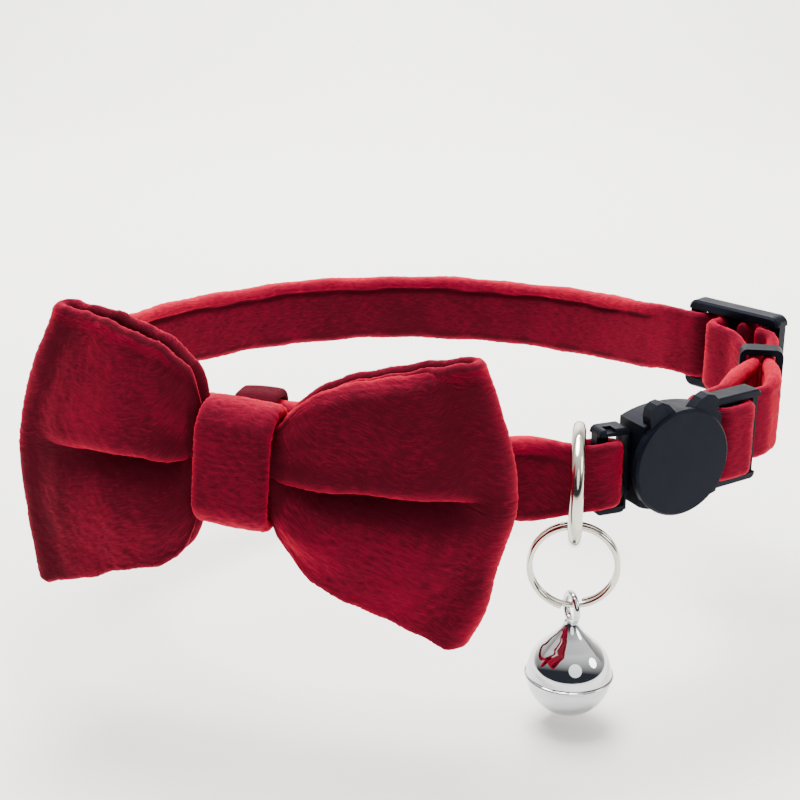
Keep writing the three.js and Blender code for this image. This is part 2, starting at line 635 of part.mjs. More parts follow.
// Slider with three bars
const sliderBars = [0, middleBarStart, frontBarStart].map((start) => (
  { start, end: start + SLIDER_BAR, thickness: BAR_THICKNESS }));
const sliderSolid = barFrame(0, SLIDER_LENGTH, SLIDER_HEIGHT, SLIDER_DEPTH, SLIDER_RAIL, SLIDER_CORNER,
  sliderBars);
addNode('slider', toGeometry(sliderSolid), plastic, frameMatrix(slider, SLIDER_LIFT));

// A band bent round the strap: an oblong ring, opening by height inside, extruded along the strap
function bandAround(opening, height, wall, width, corner) {
  const outline = roundedOblong(opening + 2 * wall, height + 2 * wall, corner);
  outline.holes.push(roundedOblong(opening, height, Math.max(corner - wall, 0.1), THREE.Path));
  const settings = { depth: width, bevelEnabled: false, curveSegments: 5 };
  const geometry = new THREE.ExtrudeGeometry(outline, settings);
  const across = new THREE.Matrix4().makeBasis(
    new THREE.Vector3(0, 1, 0), new THREE.Vector3(0, 0, 1), new THREE.Vector3(1, 0, 0));
  return toSolid(geometry, across).translate([-width / 2, 0, 0]);
}
const keeperOpening = layer + PINCHED_THICKNESS + 2 * GAP;
const keeperSolid = bandAround(keeperOpening, STRAP_WIDTH * 0.95 + 2 * GAP, KEEPER_WIRE, KEEPER_WIDTH, 1);
addNode('keeper_loop', toGeometry(keeperSolid), plastic, frameMatrix(keeper, KEEPER_LIFT));

// The strap's place and direction where the bow sits
const knotPlace = (() => {
  const points = FREE_RUN.map((row) => (
    new THREE.Vector3(row.x * LOOP_HALF_WIDTH, row.y * LOOP_HALF_DEPTH, 0)));
  const curve = new THREE.CatmullRomCurve3(points, false, 'centripetal');
  const at = KNOT_ROW / (FREE_RUN.length - 1);
  const tangent = curve.getTangent(at);
  const p = curve.getPoint(at);
  return planFrame(p.x, p.y, THREE.MathUtils.radToDeg(Math.atan2(-tangent.y, -tangent.x)));
})();

// Loop at the bow's back that slides on the strap
const loopSolid = bandAround(STRAP_THICKNESS + 2 * BOW_LOOP_EASE, STRAP_WIDTH + 2 * BOW_LOOP_EASE,
  BOW_LOOP_WALL, BOW_LOOP_WIDTH, BOW_LOOP_WALL + STRAP_EDGE_RADIUS);
addNode('bow_strap_loop', toGeometry(loopSolid), velvet, frameMatrix(knotPlace, KNOT_LIFT));

// The bow's waist stands off the strap by the loop, the knot band and their gaps
const waistHalfDepth = BOW_PUFF * LEFT_WING[0].puff + BOW_WALL / 2;
const bowLoopOut = STRAP_THICKNESS / 2 + BOW_LOOP_EASE + BOW_LOOP_WALL;
const waistOut = bowLoopOut + GAP + KNOT_WALL + KNOT_EASE + waistHalfDepth;
const waistPlan = inPlan(knotPlace, 0, waistOut);
const bowFrame = { ...knotPlace, origin: waistPlan };

// Knot band round the waist
const knotSolid = bandAround(2 * (waistHalfDepth + KNOT_EASE), 2 * (WAIST_HALF_HEIGHT + KNOT_EASE),
  KNOT_WALL, KNOT_WIDTH, KNOT_CORNER).rotate([0, BOW_ROLL, 0]);
addNode('bow_knot_band', toGeometry(knotSolid), velvet, frameMatrix(bowFrame, KNOT_LIFT));

// Heights across the cloth, closer together at the crease
const HEIGHTS = [-1, -0.8, -0.55, -0.3, -0.1, 0.05, 0.2, 0.4, 0.6, 0.8, 1];
const ALONG = [0, 0.06, 0.14, 0.25, 0.38, 0.52, 0.66, 0.8, 0.92];

// One point of the cloth's middle surface. side is -1 for the left half of the bow, face 1 for its front.
function clothPoint(side, face, along, nose, height) {
  const wing = side < 0 ? LEFT_WING : RIGHT_WING;
  const fold = side < 0 ? LEFT_FOLD : RIGHT_FOLD;
  const crease = side < 0 ? LEFT_CREASE_HEIGHT : RIGHT_CREASE_HEIGHT;
  const sweep = degrees(side < 0 ? LEFT_SWEEP : RIGHT_SWEEP);
  const start = KNOT_WIDTH / 2 + GAP + (WAIST_HALF_HEIGHT + KNOT_WALL) * Math.sin(degrees(BOW_ROLL));
  const reach = lookUp(fold, 'height', height, 'reach') * BOW_REACH - start - FOLD_RADIUS;
  const top = lookUp(wing, 'along', along, 'top') * BOW_HALF_HEIGHT;
  const bottom = lookUp(wing, 'along', along, 'bottom') * BOW_HALF_HEIGHT;
  const z = (top + bottom) / 2 + (height * (top - bottom)) / 2;
  const distance = along * reach + FOLD_RADIUS * Math.sin(nose);
  let depth = lookUp(wing, 'along', along, 'puff') * BOW_PUFF;
  const pinch = Math.exp(-(((height - crease) / CREASE_HALF_WIDTH) ** 2));
  const dent = lookUp(wing, 'along', along, 'crease') * CREASE_DEPTH * (face > 0 ? 1 : 0.4);
  const gather = Math.cos(height * Math.PI * 3.5) * (1 - along) ** 2 * Math.min(1, along * 8);
  depth += -dent * pinch + gather * GATHER_DEPTH;
  if (along >= 1) depth = FOLD_RADIUS;
  depth *= Math.cos(nose);
  const out = face * depth - distance * Math.sin(sweep);
  return new THREE.Vector3(side * (start + distance * Math.cos(sweep)), -out, z);
}

// The cloth runs from the waist out to one fold, back behind the waist to the other fold, and home.
function clothStations() {
  const stations = [];
  for (const side of [-1, 1]) {
    const wingFront = ALONG.map((along) => ({ side, face: 1, along, nose: 0 }));
    const noseCount = 6;
    const turn = [];
    for (let k = 0; k <= noseCount; k += 1) {
      const angle = (Math.PI * k) / noseCount;
      const face = angle <= Math.PI / 2 ? 1 : -1;
      turn.push({ side, face, along: 1, nose: face > 0 ? angle : Math.PI - angle });
    }
    const wingBack = [...ALONG].reverse().map((along) => ({ side, face: -1, along, nose: 0 }));
    const half = [...wingFront, ...turn, ...wingBack];
    stations.push(...(side < 0 ? half : half.reverse()));
  }
  return stations;
}

function bowGeometry() {
  const stations = clothStations();
  const count = stations.length;
  const grid = stations.map((s) => HEIGHTS.map((h) => clothPoint(s.side, s.face, s.along, s.nose, h)));
  const rings = grid.map((column, i) => {
    const before = grid[(i + count - 1) % count];
    const after = grid[(i + 1) % count];
    const offset = (j, amount) => {
      const run = after[j].clone().sub(before[j]).setZ(0).normalize();
      return column[j].clone().add(new THREE.Vector3(-run.y, run.x, 0).multiplyScalar(amount));
    };
    const outer = HEIGHTS.map((h, j) => offset(j, -BOW_WALL / 2));
    const inner = HEIGHTS.map((h, j) => offset(j, BOW_WALL / 2));
    return [...outer, ...inner.reverse()];
  });
  return skin(rings, true);
}
addNode('bow', bowGeometry(), velvet, frameMatrix(bowFrame, KNOT_LIFT));

// Ring round the strap beside the buckle, hanging on the strap's top edge
const ringRadius = (RING_OUTSIDE - RING_WIRE) / 2;
const ringCentre = inPlan(male, -ringAcross, 0);
const layersAtRing = layer + 2 * LAYER_SPREAD + PINCHED_THICKNESS;
const strapTopAtRing = (STRAP_WIDTH * RING_SEAT) / 2 - RING_SAG;
const ringInside = ringRadius - RING_WIRE / 2;
const ringHeight = strapTopAtRing + LINK_GAP - Math.sqrt(ringInside ** 2 - (layersAtRing / 2 + GAP) ** 2);
const ringAway = new THREE.Vector3(Math.sin(degrees(RING_TURN)), Math.cos(degrees(RING_TURN)), 0);
const ringSide = new THREE.Vector3(ringAway.y, -ringAway.x, 0);
const ringGeometry = new THREE.TorusGeometry(ringRadius, RING_WIRE / 2, 10, 36);
const ringMatrix = new THREE.Matrix4().makeBasis(ringAway, up, ringSide)
  .setPosition(ringCentre.x, ringCentre.y, ringHeight);
addNode('o_ring', toGeometry(toSolid(ringGeometry)), nickel, ringMatrix);

// Split ring hanging in the ring. Its own axis points along the ring's wire at the bottom.
class SplitRingPath extends THREE.Curve {
  getPoint(t, target = new THREE.Vector3()) {
    const turned = (t - 0.5) * SPLIT_TURNS * Math.PI * 2;
    const radius = (SPLIT_OUTSIDE - SPLIT_WIRE) / 2;
    const angle = turned - Math.PI / 2;
    const along = (t - 0.5) * SPLIT_TURNS * SPLIT_PITCH;
    return target.set(radius * Math.cos(angle), radius * Math.sin(angle), along);
  }
}
const splitRadius = (SPLIT_OUTSIDE - SPLIT_WIRE) / 2;
const hangHeight = ringHeight - ringRadius;
const splitHeight = hangHeight + RING_WIRE / 2 + LINK_GAP + SPLIT_WIRE / 2 - splitRadius;
const wireSection = new THREE.Shape().absarc(0, 0, SPLIT_WIRE / 2, 0, Math.PI * 2, false);
const splitGeometry = new THREE.ExtrudeGeometry(wireSection, {
  steps: 60, curveSegments: 3, bevelEnabled: false, extrudePath: new SplitRingPath(),
});
const splitMatrix = new THREE.Matrix4().makeBasis(ringSide, up, ringAway.clone().negate())
  .setPosition(ringCentre.x, ringCentre.y, splitHeight);
addNode('split_ring', splitGeometry, nickel, splitMatrix);

const quarterTurn = Math.PI / 2;
const upFromLathe = new THREE.Matrix4().makeRotationX(quarterTurn);
const alongX = new THREE.Matrix4().makeRotationZ(quarterTurn);
const alongY = new THREE.Matrix4().makeRotationX(quarterTurn);

// Bell: hollow, pear shaped, with a lip round its middle, a slot below and a wire loop on top
function bellSolid() {
  const loopRadius = (BELL_LOOP_EYE + BELL_LOOP_WIRE) / 2;
  const r = BELL_RADIUS;
  const outer = [new THREE.Vector2(0, -r)];
  const rows = 7;
  for (let i = 1; i < rows; i += 1) {
    const angle = degrees(-90 + (90 * i) / rows);
    outer.push(new THREE.Vector2(r * Math.cos(angle), r * Math.sin(angle)));
  }
  outer.push(new THREE.Vector2(r, -BELL_LIP));
  outer.push(new THREE.Vector2(r + BELL_LIP, 0));
  outer.push(new THREE.Vector2(r, BELL_LIP));
  for (let i = 1; i < rows - 2; i += 1) {
    const angle = degrees((90 * i) / rows);
    outer.push(new THREE.Vector2(r * Math.cos(angle), r * Math.sin(angle)));
  }
  for (const row of [...BELL_SHOULDER].reverse()) outer.push(new THREE.Vector2(row.out * r, row.up * r));
  outer.push(new THREE.Vector2(BELL_NECK_RADIUS, BELL_DROP - loopRadius));
  outer.push(new THREE.Vector2(0, BELL_DROP - loopRadius));
  let bell = toSolid(new THREE.LatheGeometry(outer, 24), upFromLathe);
  bell = bell.subtract(toSolid(new THREE.SphereGeometry(r - BELL_WALL, 20, 12)));
  const slot = box(-2 * r, 2 * r, -BELL_SLOT / 2, BELL_SLOT / 2, -2 * r, -r * BELL_SLOT_TOP);
  const hole = toSolid(new THREE.CylinderGeometry(BELL_HOLE / 2, BELL_HOLE / 2, 4 * r, 14), alongX)
    .translate([0, 0, -r * BELL_HOLE_DROP]);
  bell = bell.subtract(slot.add(hole).rotate([0, 0, BELL_SLOT_TURN]));
  const loop = toSolid(new THREE.TorusGeometry(loopRadius, BELL_LOOP_WIRE / 2, 8, 18), alongY)
    .rotate([0, 0, 90 + BELL_LOOP_TURN]).translate([0, 0, BELL_DROP]);
  return bell.add(loop);
}
const eyeReach = BELL_LOOP_EYE / 2 - SPLIT_WIRE / 2 - BELL_LOOP_EASE;
const eyeDrop = Math.sqrt(eyeReach ** 2 - (SPLIT_PITCH / 2) ** 2);
const bellHeight = splitHeight - splitRadius - eyeDrop - BELL_DROP;
const bellMatrix = new THREE.Matrix4().makeBasis(ringSide, ringAway, up)
  .setPosition(ringCentre.x, ringCentre.y, bellHeight);
addNode('bell', toGeometry(bellSolid()), chrome, bellMatrix);

// Loose pea that rings the bell, lying at the bottom of its hollow
const peaDrop = BELL_RADIUS - BELL_WALL - PEA_RADIUS - GAP;
const peaMatrix = bellMatrix.clone().multiply(new THREE.Matrix4().makeTranslation(0, 0, -peaDrop));
addNode('bell_pea', toGeometry(toSolid(new THREE.SphereGeometry(PEA_RADIUS, 12, 8))), nickel, peaMatrix);

export default part;
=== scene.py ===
"""Looks of the velvet cat collar: soft velvet pieces, moulded plastic, nickel rings and a chrome bell.

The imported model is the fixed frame. Shapes are worked out in millimetres and written to meshes in metres.
"""

import math

import bmesh
import bpy
import numpy as np
from bpy.props import FloatProperty, FloatVectorProperty, PointerProperty, StringProperty
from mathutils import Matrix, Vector, noise


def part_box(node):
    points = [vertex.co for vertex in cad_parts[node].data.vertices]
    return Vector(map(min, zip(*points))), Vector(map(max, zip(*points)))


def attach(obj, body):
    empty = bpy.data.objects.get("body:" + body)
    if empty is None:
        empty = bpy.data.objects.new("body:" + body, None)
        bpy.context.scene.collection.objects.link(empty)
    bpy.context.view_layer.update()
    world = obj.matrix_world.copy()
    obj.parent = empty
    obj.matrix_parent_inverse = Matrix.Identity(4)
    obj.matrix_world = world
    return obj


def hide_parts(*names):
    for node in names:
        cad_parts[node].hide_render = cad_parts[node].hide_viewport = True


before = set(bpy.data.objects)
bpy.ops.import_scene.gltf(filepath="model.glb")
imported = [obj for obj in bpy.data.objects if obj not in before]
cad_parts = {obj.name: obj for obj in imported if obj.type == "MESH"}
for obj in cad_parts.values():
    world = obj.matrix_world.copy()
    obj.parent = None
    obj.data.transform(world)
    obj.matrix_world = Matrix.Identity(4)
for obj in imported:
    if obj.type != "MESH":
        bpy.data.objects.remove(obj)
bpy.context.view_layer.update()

bl_info = {
    "name": "Velvet bow tie collar",
    "version": (1, 0, 0),
    "blender": (4, 5, 0),
    "location": "3D View > Sidebar > Collar",
    "description": "Builds the velvet, plastic and metal pieces of a cat collar on its packed frame",
    "category": "Object",
}

MM = 0.001
DECIMETRE = 0.1
UP = np.array([0, 0, 1])
LEFT, RIGHT = -1, 1

# Strap, in millimetres
STRAP_WIDTH = 10.0
STRAP_THICKNESS = 2.4
PINCHED_THICKNESS = 1.5
LOOP_HALF_WIDTH = 48.2
LOOP_HALF_DEPTH = 36.0
KNOT_LIFT = 4.4
SEWN_RETURN = 11.0
EASED_THICKNESS = 0.85
GAP = 0.3
RING_STEP = 0.42
STRAP_DOME = 0.1
PUCKER = 0.16
SEAM_BELOW_EDGE = 1.9
SEAM_REACH = 0.3
SEAM_DEPTH = 0.5
SEAM_OUTSIDE = 0.5
TURNED_RISE = 0.22

# Breakaway buckle
BUCKLE_X, BUCKLE_Y = 0.586 * LOOP_HALF_WIDTH, -0.8194 * LOOP_HALF_DEPTH
BUCKLE_LIFT = 1.1
BUCKLE_TURN = 27.0
BUCKLE_CURVE = 6.0
FRAME_HEIGHT = 11.4
FRAME_DEPTH = 2.6
RAIL_HEIGHT = 0.85
BAR_THICKNESS = 1.4
HEAD_HALF_LENGTH = 5.8
MALE_BAR_WIDTH = 1.4
MALE_HEIGHT = 10.4
MALE_LIFT = 0.3
MIDDLE_BAR_WIDTH = 3.0

# Slider and keeper
SLIDER_X, SLIDER_Y = 0.8215 * LOOP_HALF_WIDTH, 0.3306 * LOOP_HALF_DEPTH
SLIDER_TURN = -47.2
SLIDER_LIFT = 2.0
SLIDER_LENGTH = 14.5
SLIDER_HEIGHT = 12.6
SLIDER_RAIL = 1.3
SLIDER_BAR = 1.7
KEEPER_X, KEEPER_Y = 0.9305 * LOOP_HALF_WIDTH, -0.1778 * LOOP_HALF_DEPTH
KEEPER_TURN = 80.0
KEEPER_LIFT = 0.7
KEEPER_WIDTH = 2.6

# Bow
BOW_ROLL = 5.0
KNOT_WIDTH = 8.5
KNOT_WALL = 1.5
KNOT_EASE = 0.45
KNOT_CORNER = 2.7
WAIST_HALF_HEIGHT = 5.1
BOW_WALL = 1.6
BOW_REACH = 29.5
BOW_HALF_HEIGHT = 18.0
BOW_PUFF = 3.0
BOW_CROWN = 1.12
FOLD_RADIUS = 1.3
BOW_SWEEP = 8.0
CLOTH_GAP = 0.1
EDGE_WANDER = 0.16
CREASE_HEIGHT = {LEFT: 0.05, RIGHT: 0.06}
CREASE_DEPTH = 3.3
BACK_CREASE_DEPTH = 0.5
CREASE_ABOVE = 0.07
CREASE_BELOW = 0.22
LIP_DROP = 0.7
LIP_RISE = 0.3
GATHER_DEPTH = 0.35
TURNED_DROP = 0.8
BOW_LOOP_SLACK = 0.35
BOW_LOOP_WALL = 0.9
BOW_LOOP_EASE = 0.5
BOW_LOOP_WIDTH = 5.0
BOW_LOOP_CORNER = 1.2

# Counts of the soft meshes
END_STEPS = 4
FREE_RUN_STEPS = 4
WING_STEPS = 84
NOSE_STEPS = 12
WAIST_STEPS = 14
OUTSIDE_ROWS = 132
INSIDE_ROWS = 30

# Rings and bell
RING_TURN = 7.65
RING_SEAT = 0.8
RING_WIRE = 1.6
RING_OUTSIDE = 14.4
SPLIT_WIRE = 0.7
SPLIT_OUTSIDE = 10.8
SPLIT_TURNS = 1.9
SPLIT_PITCH = 0.82
BELL_RADIUS = 5.05
BELL_WALL = 0.45
BELL_LOOP_WIRE = 0.8
BELL_LOOP_EYE = 2.6
BELL_LOOP_TURN = 15.0
BELL_DROP = 8.6
BELL_LIP = 0.25
BELL_SLOT = 0.9
BELL_SLOT_TURN = -18.0
BELL_SLOT_TOP = 0.32
BELL_HOLE = 2.0
BELL_HOLE_DROP = 0.42
PEA_RADIUS = 1.4

# Camera, matched to the photograph, in the row frame
CAMERA_PLACE = (-2.0, -184.8, 62.15)
CAMERA_PITCH = 19.41
CAMERA_LENS = 64.92

# The room that the metal mirrors, and the pale wall that the eye sees
DIM_ROOM = (0.03, 0.034, 0.042, 1)
BRIGHT_WALL = (1.0, 0.98, 0.95, 1)
PALE_WALL = (0.85, 0.84, 0.83, 1)
MIX_FACTOR, MIX_FIRST, MIX_SECOND, MIX_RESULT = 0, 6, 7, 2

# Columns of the strap's rows
X, Y, LIFT, THICK, WIDTH = range(5)


def table(columns, *rows):
    """A short table as a list of rows, with the name of each column."""
    return [dict(zip(columns.split(), row)) for row in rows]


# Free run of the strap round the neck: x and y are shares of the loop's half width and half depth,
# lift is a share of the knot's lift.
FREE_RUN = table(
    "x y lift",
    (0.26, -0.972, 0),
    (0.083, -1, 0.15),
    (-0.124, -1, 0.72),
    (-0.361, -0.965, 1),
    (-0.56, -0.85, 0.85),
    (-0.778, -0.667, 0.35),
    (-0.923, -0.403, 0.08),
    (-1, -0.097, 0),
    (-0.958, 0.208, 0),
    (-0.83, 0.433, 0),
    (-0.71, 0.619, 0),
    (-0.539, 0.8, 0),
    (-0.365, 0.922, 0),
    (-0.114, 1, 0),
    (0.141, 0.983, 0),
    (0.382, 0.878, 0),
    (0.605, 0.665, 0.1),
)
KNOT_ROW = 3

# Each half of the bow, from the waist to the outer fold. top and bottom are shares of the half height,
# puff is a share of the bow's puff and crease of the crease's depth.
WING = {
    LEFT: table(
        "along top bottom puff crease",
        (0, 0.303, -0.268, 0.34, 0.2),
        (0.04, 0.53, -0.46, 0.46, 0.5),
        (0.1, 0.61, -0.6, 0.64, 0.8),
        (0.2, 0.68, -0.69, 0.84, 1),
        (0.3, 0.735, -0.73, 0.95, 1),
        (0.5, 0.795, -0.8, 1, 0.9),
        (0.75, 0.845, -0.91, 0.8, 0.4),
        (1, 0.883, -1.005, 0.43, 0),
    ),
    RIGHT: table(
        "along top bottom puff crease",
        (0, 0.263, -0.308, 0.34, 0.3),
        (0.04, 0.34, -0.45, 0.44, 0.5),
        (0.1, 0.42, -0.555, 0.58, 0.8),
        (0.2, 0.495, -0.68, 0.74, 1),
        (0.3, 0.54, -0.75, 0.85, 1),
        (0.5, 0.605, -0.857, 0.9, 1),
        (0.75, 0.665, -0.975, 0.72, 0.85),
        (1, 0.705, -1.105, 0.43, 0),
    ),
}
# The outer fold: its reach from the middle of the knot, as a share of the bow's reach, at each height
FOLD = {
    LEFT: table(
        "height reach",
        (-1, 0.893),
        (-0.5, 0.911),
        (-0.1, 0.925),
        (0.2, 0.897),
        (0.55, 0.828),
        (1, 0.72),
    ),
    RIGHT: table(
        "height reach",
        (-1, 0.815),
        (-0.7, 0.889),
        (-0.4, 0.93),
        (0, 0.983),
        (0.3, 0.975),
        (0.6, 0.935),
        (1, 0.866),
    ),
}


class VelvetSettings(bpy.types.PropertyGroup):
    """Colours and pile of the velvet."""

    deep: StringProperty(
        name="Deep colour", description="Colour between the brushed strokes, sRGB hex", default="3c000f"
    )
    body: StringProperty(name="Body colour", description="Main colour of the pile, sRGB hex", default="6a001f")
    lit: StringProperty(
        name="Lit colour", description="Colour of pile seen side on, sRGB hex", default="b8002a"
    )
    stroke_length: FloatProperty(
        name="Stroke length", description="Length of a brushed stroke of pile", default=1.15 * MM, unit="LENGTH"
    )
    stroke_width: FloatProperty(
        name="Stroke width", description="Width of a brushed stroke of pile", default=0.23 * MM, unit="LENGTH"
    )
    relief: FloatProperty(
        name="Pile relief", description="How far the strokes stand out", default=0.11 * MM, unit="LENGTH"
    )
    stroke_tone: FloatProperty(
        name="Stroke tone", description="How much the strokes lighten the pile", default=0.5
    )
    patch_tone: FloatProperty(
        name="Patch tone", description="How much the stroked patches lighten the pile", default=0.2
    )
    side_tone: FloatProperty(
        name="Side tone", description="How much pile seen side on is lightened", default=0.5
    )
    sheen: FloatProperty(name="Sheen", description="Glow of the fibre tips", default=0.24)


class HardSettings(bpy.types.PropertyGroup):
    """Colours of the plastic and the metal."""

    plastic: StringProperty(
        name="Plastic colour", description="Colour of the moulded parts, sRGB hex", default="05070d"
    )
    nickel: StringProperty(
        name="Nickel colour", description="Colour of the plated rings, sRGB hex", default="c9c5b8"
    )
    chrome: StringProperty(name="Chrome colour", description="Colour of the bell, sRGB hex", default="c8cacd")
    edge: FloatProperty(
        name="Moulded edge", description="Rounding of the plastic's edges", default=0.16 * MM, unit="LENGTH"
    )


class StageSettings(bpy.types.PropertyGroup):
    """Floor and light."""

    floor: FloatProperty(
        name="Floor height",
        description="Height of the floor below the middle of the strap",
        default=-32.0 * MM,
        unit="LENGTH",
    )
    pale: FloatVectorProperty(
        name="Floor colour", description="Colour of the floor", default=(0.95, 0.93, 0.9), subtype="COLOR"
    )
    key: FloatProperty(
        name="Key light", description="Power of the large light overhead, in watts", default=11.0
    )
    fill: FloatProperty(
        name="Fill light", description="Power of the light beside the camera, in watts", default=0.9
    )
    wash: FloatProperty(
        name="Wall wash", description="Power of the light on the backdrop, in watts", default=8.0
    )


def linear(hex_colour):
    """An sRGB hex colour as linear RGBA."""
    channels = [int(hex_colour[i : i + 2], 16) / 255 for i in (0, 2, 4)]
    return [c / 12.92 if c <= 0.04045 else ((c + 0.055) / 1.055) ** 2.4 for c in channels] + [1.0]


def fill(tree, node, settings=None, links=None):
    """Fills in a node. settings name its own properties or input sockets, and links name sockets to join."""
    for key, value in (settings or {}).items():
        if isinstance(key, int) or key in node.inputs:
            node.inputs[key].default_value = value
        else:
            setattr(node, key, value)
    for key, source in (links or {}).items():
        tree.links.new(source, node.inputs[key])
    return node


def add_node(tree, kind, settings=None, links=None):
    return fill(tree, tree.nodes.new(kind), settings, links)


def maths(tree, operation, *values, vector=False, **settings):
    """A sum on numbers and sockets, in the order of the node's inputs."""
    kind = "ShaderNodeVectorMath" if vector else "ShaderNodeMath"
    node = add_node(tree, kind, {"operation": operation, **settings})
    for slot, value in zip(node.inputs, values):
        if isinstance(value, bpy.types.NodeSocket):
            tree.links.new(value, slot)
        else:
            slot.default_value = value
    return node.outputs["Vector" if vector and operation != "DOT_PRODUCT" else "Value"]


def grain(tree, place, scale, output="Fac", **settings):
    """Noise with so many grains to each unit of place."""
    return add_node(tree, "ShaderNodeTexNoise", {"Scale": scale, **settings}, {"Vector": place}).outputs[output]


def bump(tree, height, strength, distance):
    """A fine relief, with its distance in millimetres."""
    settings = {"Strength": strength, "Distance": distance * MM}
    return add_node(tree, "ShaderNodeBump", settings, {"Height": height}).outputs["Normal"]


def colour_ramp(tree, source, first, last, *middle):
    """A ramp between colours. Each stop is a position and a colour."""
    ramp = add_node(tree, "ShaderNodeValToRGB", links={"Fac": source})
    stops = ramp.color_ramp.elements
    stops[0].position, stops[0].color = first
    stops[1].position, stops[1].color = last
    for position, colour in middle:
        stops.new(position).color = colour
    return ramp.outputs["Color"]


def new_material(name):
    """A material with a bare node tree, its surface node, and its places on the cloth and in the solid."""
    material = bpy.data.materials.new(name)
    material.use_nodes = True
    tree = material.node_tree
    tree.nodes.clear()
    surface = add_node(tree, "ShaderNodeBsdfPrincipled")
    add_node(tree, "ShaderNodeOutputMaterial", links={"Surface": surface.outputs["BSDF"]})
    place = add_node(tree, "ShaderNodeTexCoord")
    return material, tree, surface, place.outputs["UV"], place.outputs["Object"]


def brushed_velvet(name, across=False):
    """Cotton velvet, woven and brushed. Deep where it faces the eye, lit where the pile is seen side on,
    with fine wavy strokes where the brush has parted it."""
    look = bpy.context.scene.collar_velvet
    material, tree, surface, cloth, solid = new_material(name)
    # UVs hold decimetres of cloth, so a stroke's size in metres gives the scale
    long_scale, short_scale = DECIMETRE / look.stroke_length, DECIMETRE / look.stroke_width
    scale = (short_scale, long_scale, 1) if across else (long_scale, short_scale, 1)
    # The strokes wander by 2 mm in waves of 3.2 mm
    bend = grain(tree, cloth, DECIMETRE / (3.2 * MM), "Color", Detail=2.0)
    shift = maths(tree, "MULTIPLY", bend, (0.02, 0.02, 0), vector=True)
    bent = maths(tree, "ADD", cloth, shift, vector=True)
    stretched = add_node(tree, "ShaderNodeMapping", {"Scale": scale}, {"Vector": bent})
    strokes = grain(tree, stretched.outputs["Vector"], 1.0, Detail=3.0, Roughness=0.62)
    # Patches where the pile was stroked another way, about 6 mm across
    patches = grain(tree, solid, 1 / (6 * MM), Detail=3.0)
    # Single tufts are about 0.1 mm and are drawn at 0.15 mm, so that they show
    tufts = grain(tree, solid, 1 / (0.15 * MM), Detail=1.0)
    tuft_tone, tuft_height = 0.14, 0.4
    # Painted sheen: pile seen side on gets a lighter colour
    side_on_sheen = add_node(tree, "ShaderNodeLayerWeight", {"Blend": 0.42}).outputs["Facing"]
    # Painted shade darkens the colour in creases, seams and the gaps between pieces, and painted highlights
    # lighten it on turned top edges, from a mesh attribute
    attribute = {"attribute_type": "GEOMETRY", "attribute_name": "shade_and_highlight"}
    shade_and_highlight = add_node(tree, "ShaderNodeAttribute", attribute).outputs["Fac"]
    tone = maths(tree, "MULTIPLY", strokes, look.stroke_tone)
    lit_by = (patches, look.patch_tone), (tufts, tuft_tone), (side_on_sheen, look.side_tone), (shade_and_highlight, 1.0)
    for source, share in lit_by:
        tone = maths(tree, "MULTIPLY_ADD", source, share, tone)
    deep, body, lit = linear(look.deep), linear(look.body), linear(look.lit)
    height = maths(tree, "MULTIPLY_ADD", tufts, tuft_height, strokes)
    # The sheen is weaker where shade is painted and stronger where highlights are painted
    glow = maths(tree, "MULTIPLY_ADD", shade_and_highlight, look.sheen * 1.6, look.sheen, use_clamp=True)
    settings = {"Roughness": 0.95, "Specular IOR Level": 0.1, "Sheen Roughness": 0.42}
    links = {
        "Base Color": colour_ramp(tree, tone, (0.41, deep), (0.98, lit), (0.62, body)),
        "Normal": bump(tree, height, 0.6, 0.16),
        "Sheen Weight": glow,
    }
    fill(tree, surface, {**settings, "Sheen Tint": linear("ff0a30")}, links)
    return material


def moulded_abs(name):
    """ABS, injection moulded against a finely eroded steel tool: satin, with faint grain and handling marks."""
    look = bpy.context.scene.collar_hard
    material, tree, surface, _, solid = new_material(name)
    # The tool's grain is about 0.05 mm and is drawn at 0.12 mm, and the marks at 2.2 mm
    eroded = grain(tree, solid, 1 / (0.12 * MM), Detail=2.0)
    marks = grain(tree, solid, 1 / (2.2 * MM), Detail=4.0)
    gloss = add_node(tree, "ShaderNodeMapRange", {"To Min": 0.42, "To Max": 0.6}, {"Value": marks})
    base = linear(look.plastic)
    worn = [c * 1.6 + 0.001 for c in base[:3]] + [1]
    settings = {"IOR": 1.5, "Specular IOR Level": 0.13, "Specular Tint": linear("a9b4dc")}
    links = {
        "Base Color": colour_ramp(tree, marks, (0.35, base), (0.85, worn)),
        "Roughness": gloss.outputs["Result"],
        "Normal": bump(tree, eroded, 0.18, 0.03),
    }
    fill(tree, surface, settings, links)
    return material


def plated_metal(name, colour, rough_low, rough_high, haze_size):
    """Plated steel or brass: a mirror finish with a slight uneven haze where it has been handled."""
    material, tree, surface, _, solid = new_material(name)
    haze = grain(tree, solid, 1 / (haze_size * MM), Detail=4.0)
    spread = {"From Min": 0.3, "From Max": 0.7, "To Min": rough_low, "To Max": rough_high}
    gloss = add_node(tree, "ShaderNodeMapRange", spread, {"Value": haze})
    bright = linear(colour)
    dull = [c * 0.9 for c in bright[:3]] + [1]
    links = {
        "Base Color": colour_ramp(tree, haze, (0, dull), (1, bright)),
        "Roughness": gloss.outputs["Result"],
    }
    fill(tree, surface, {"Metallic": 1.0}, links)
    return material


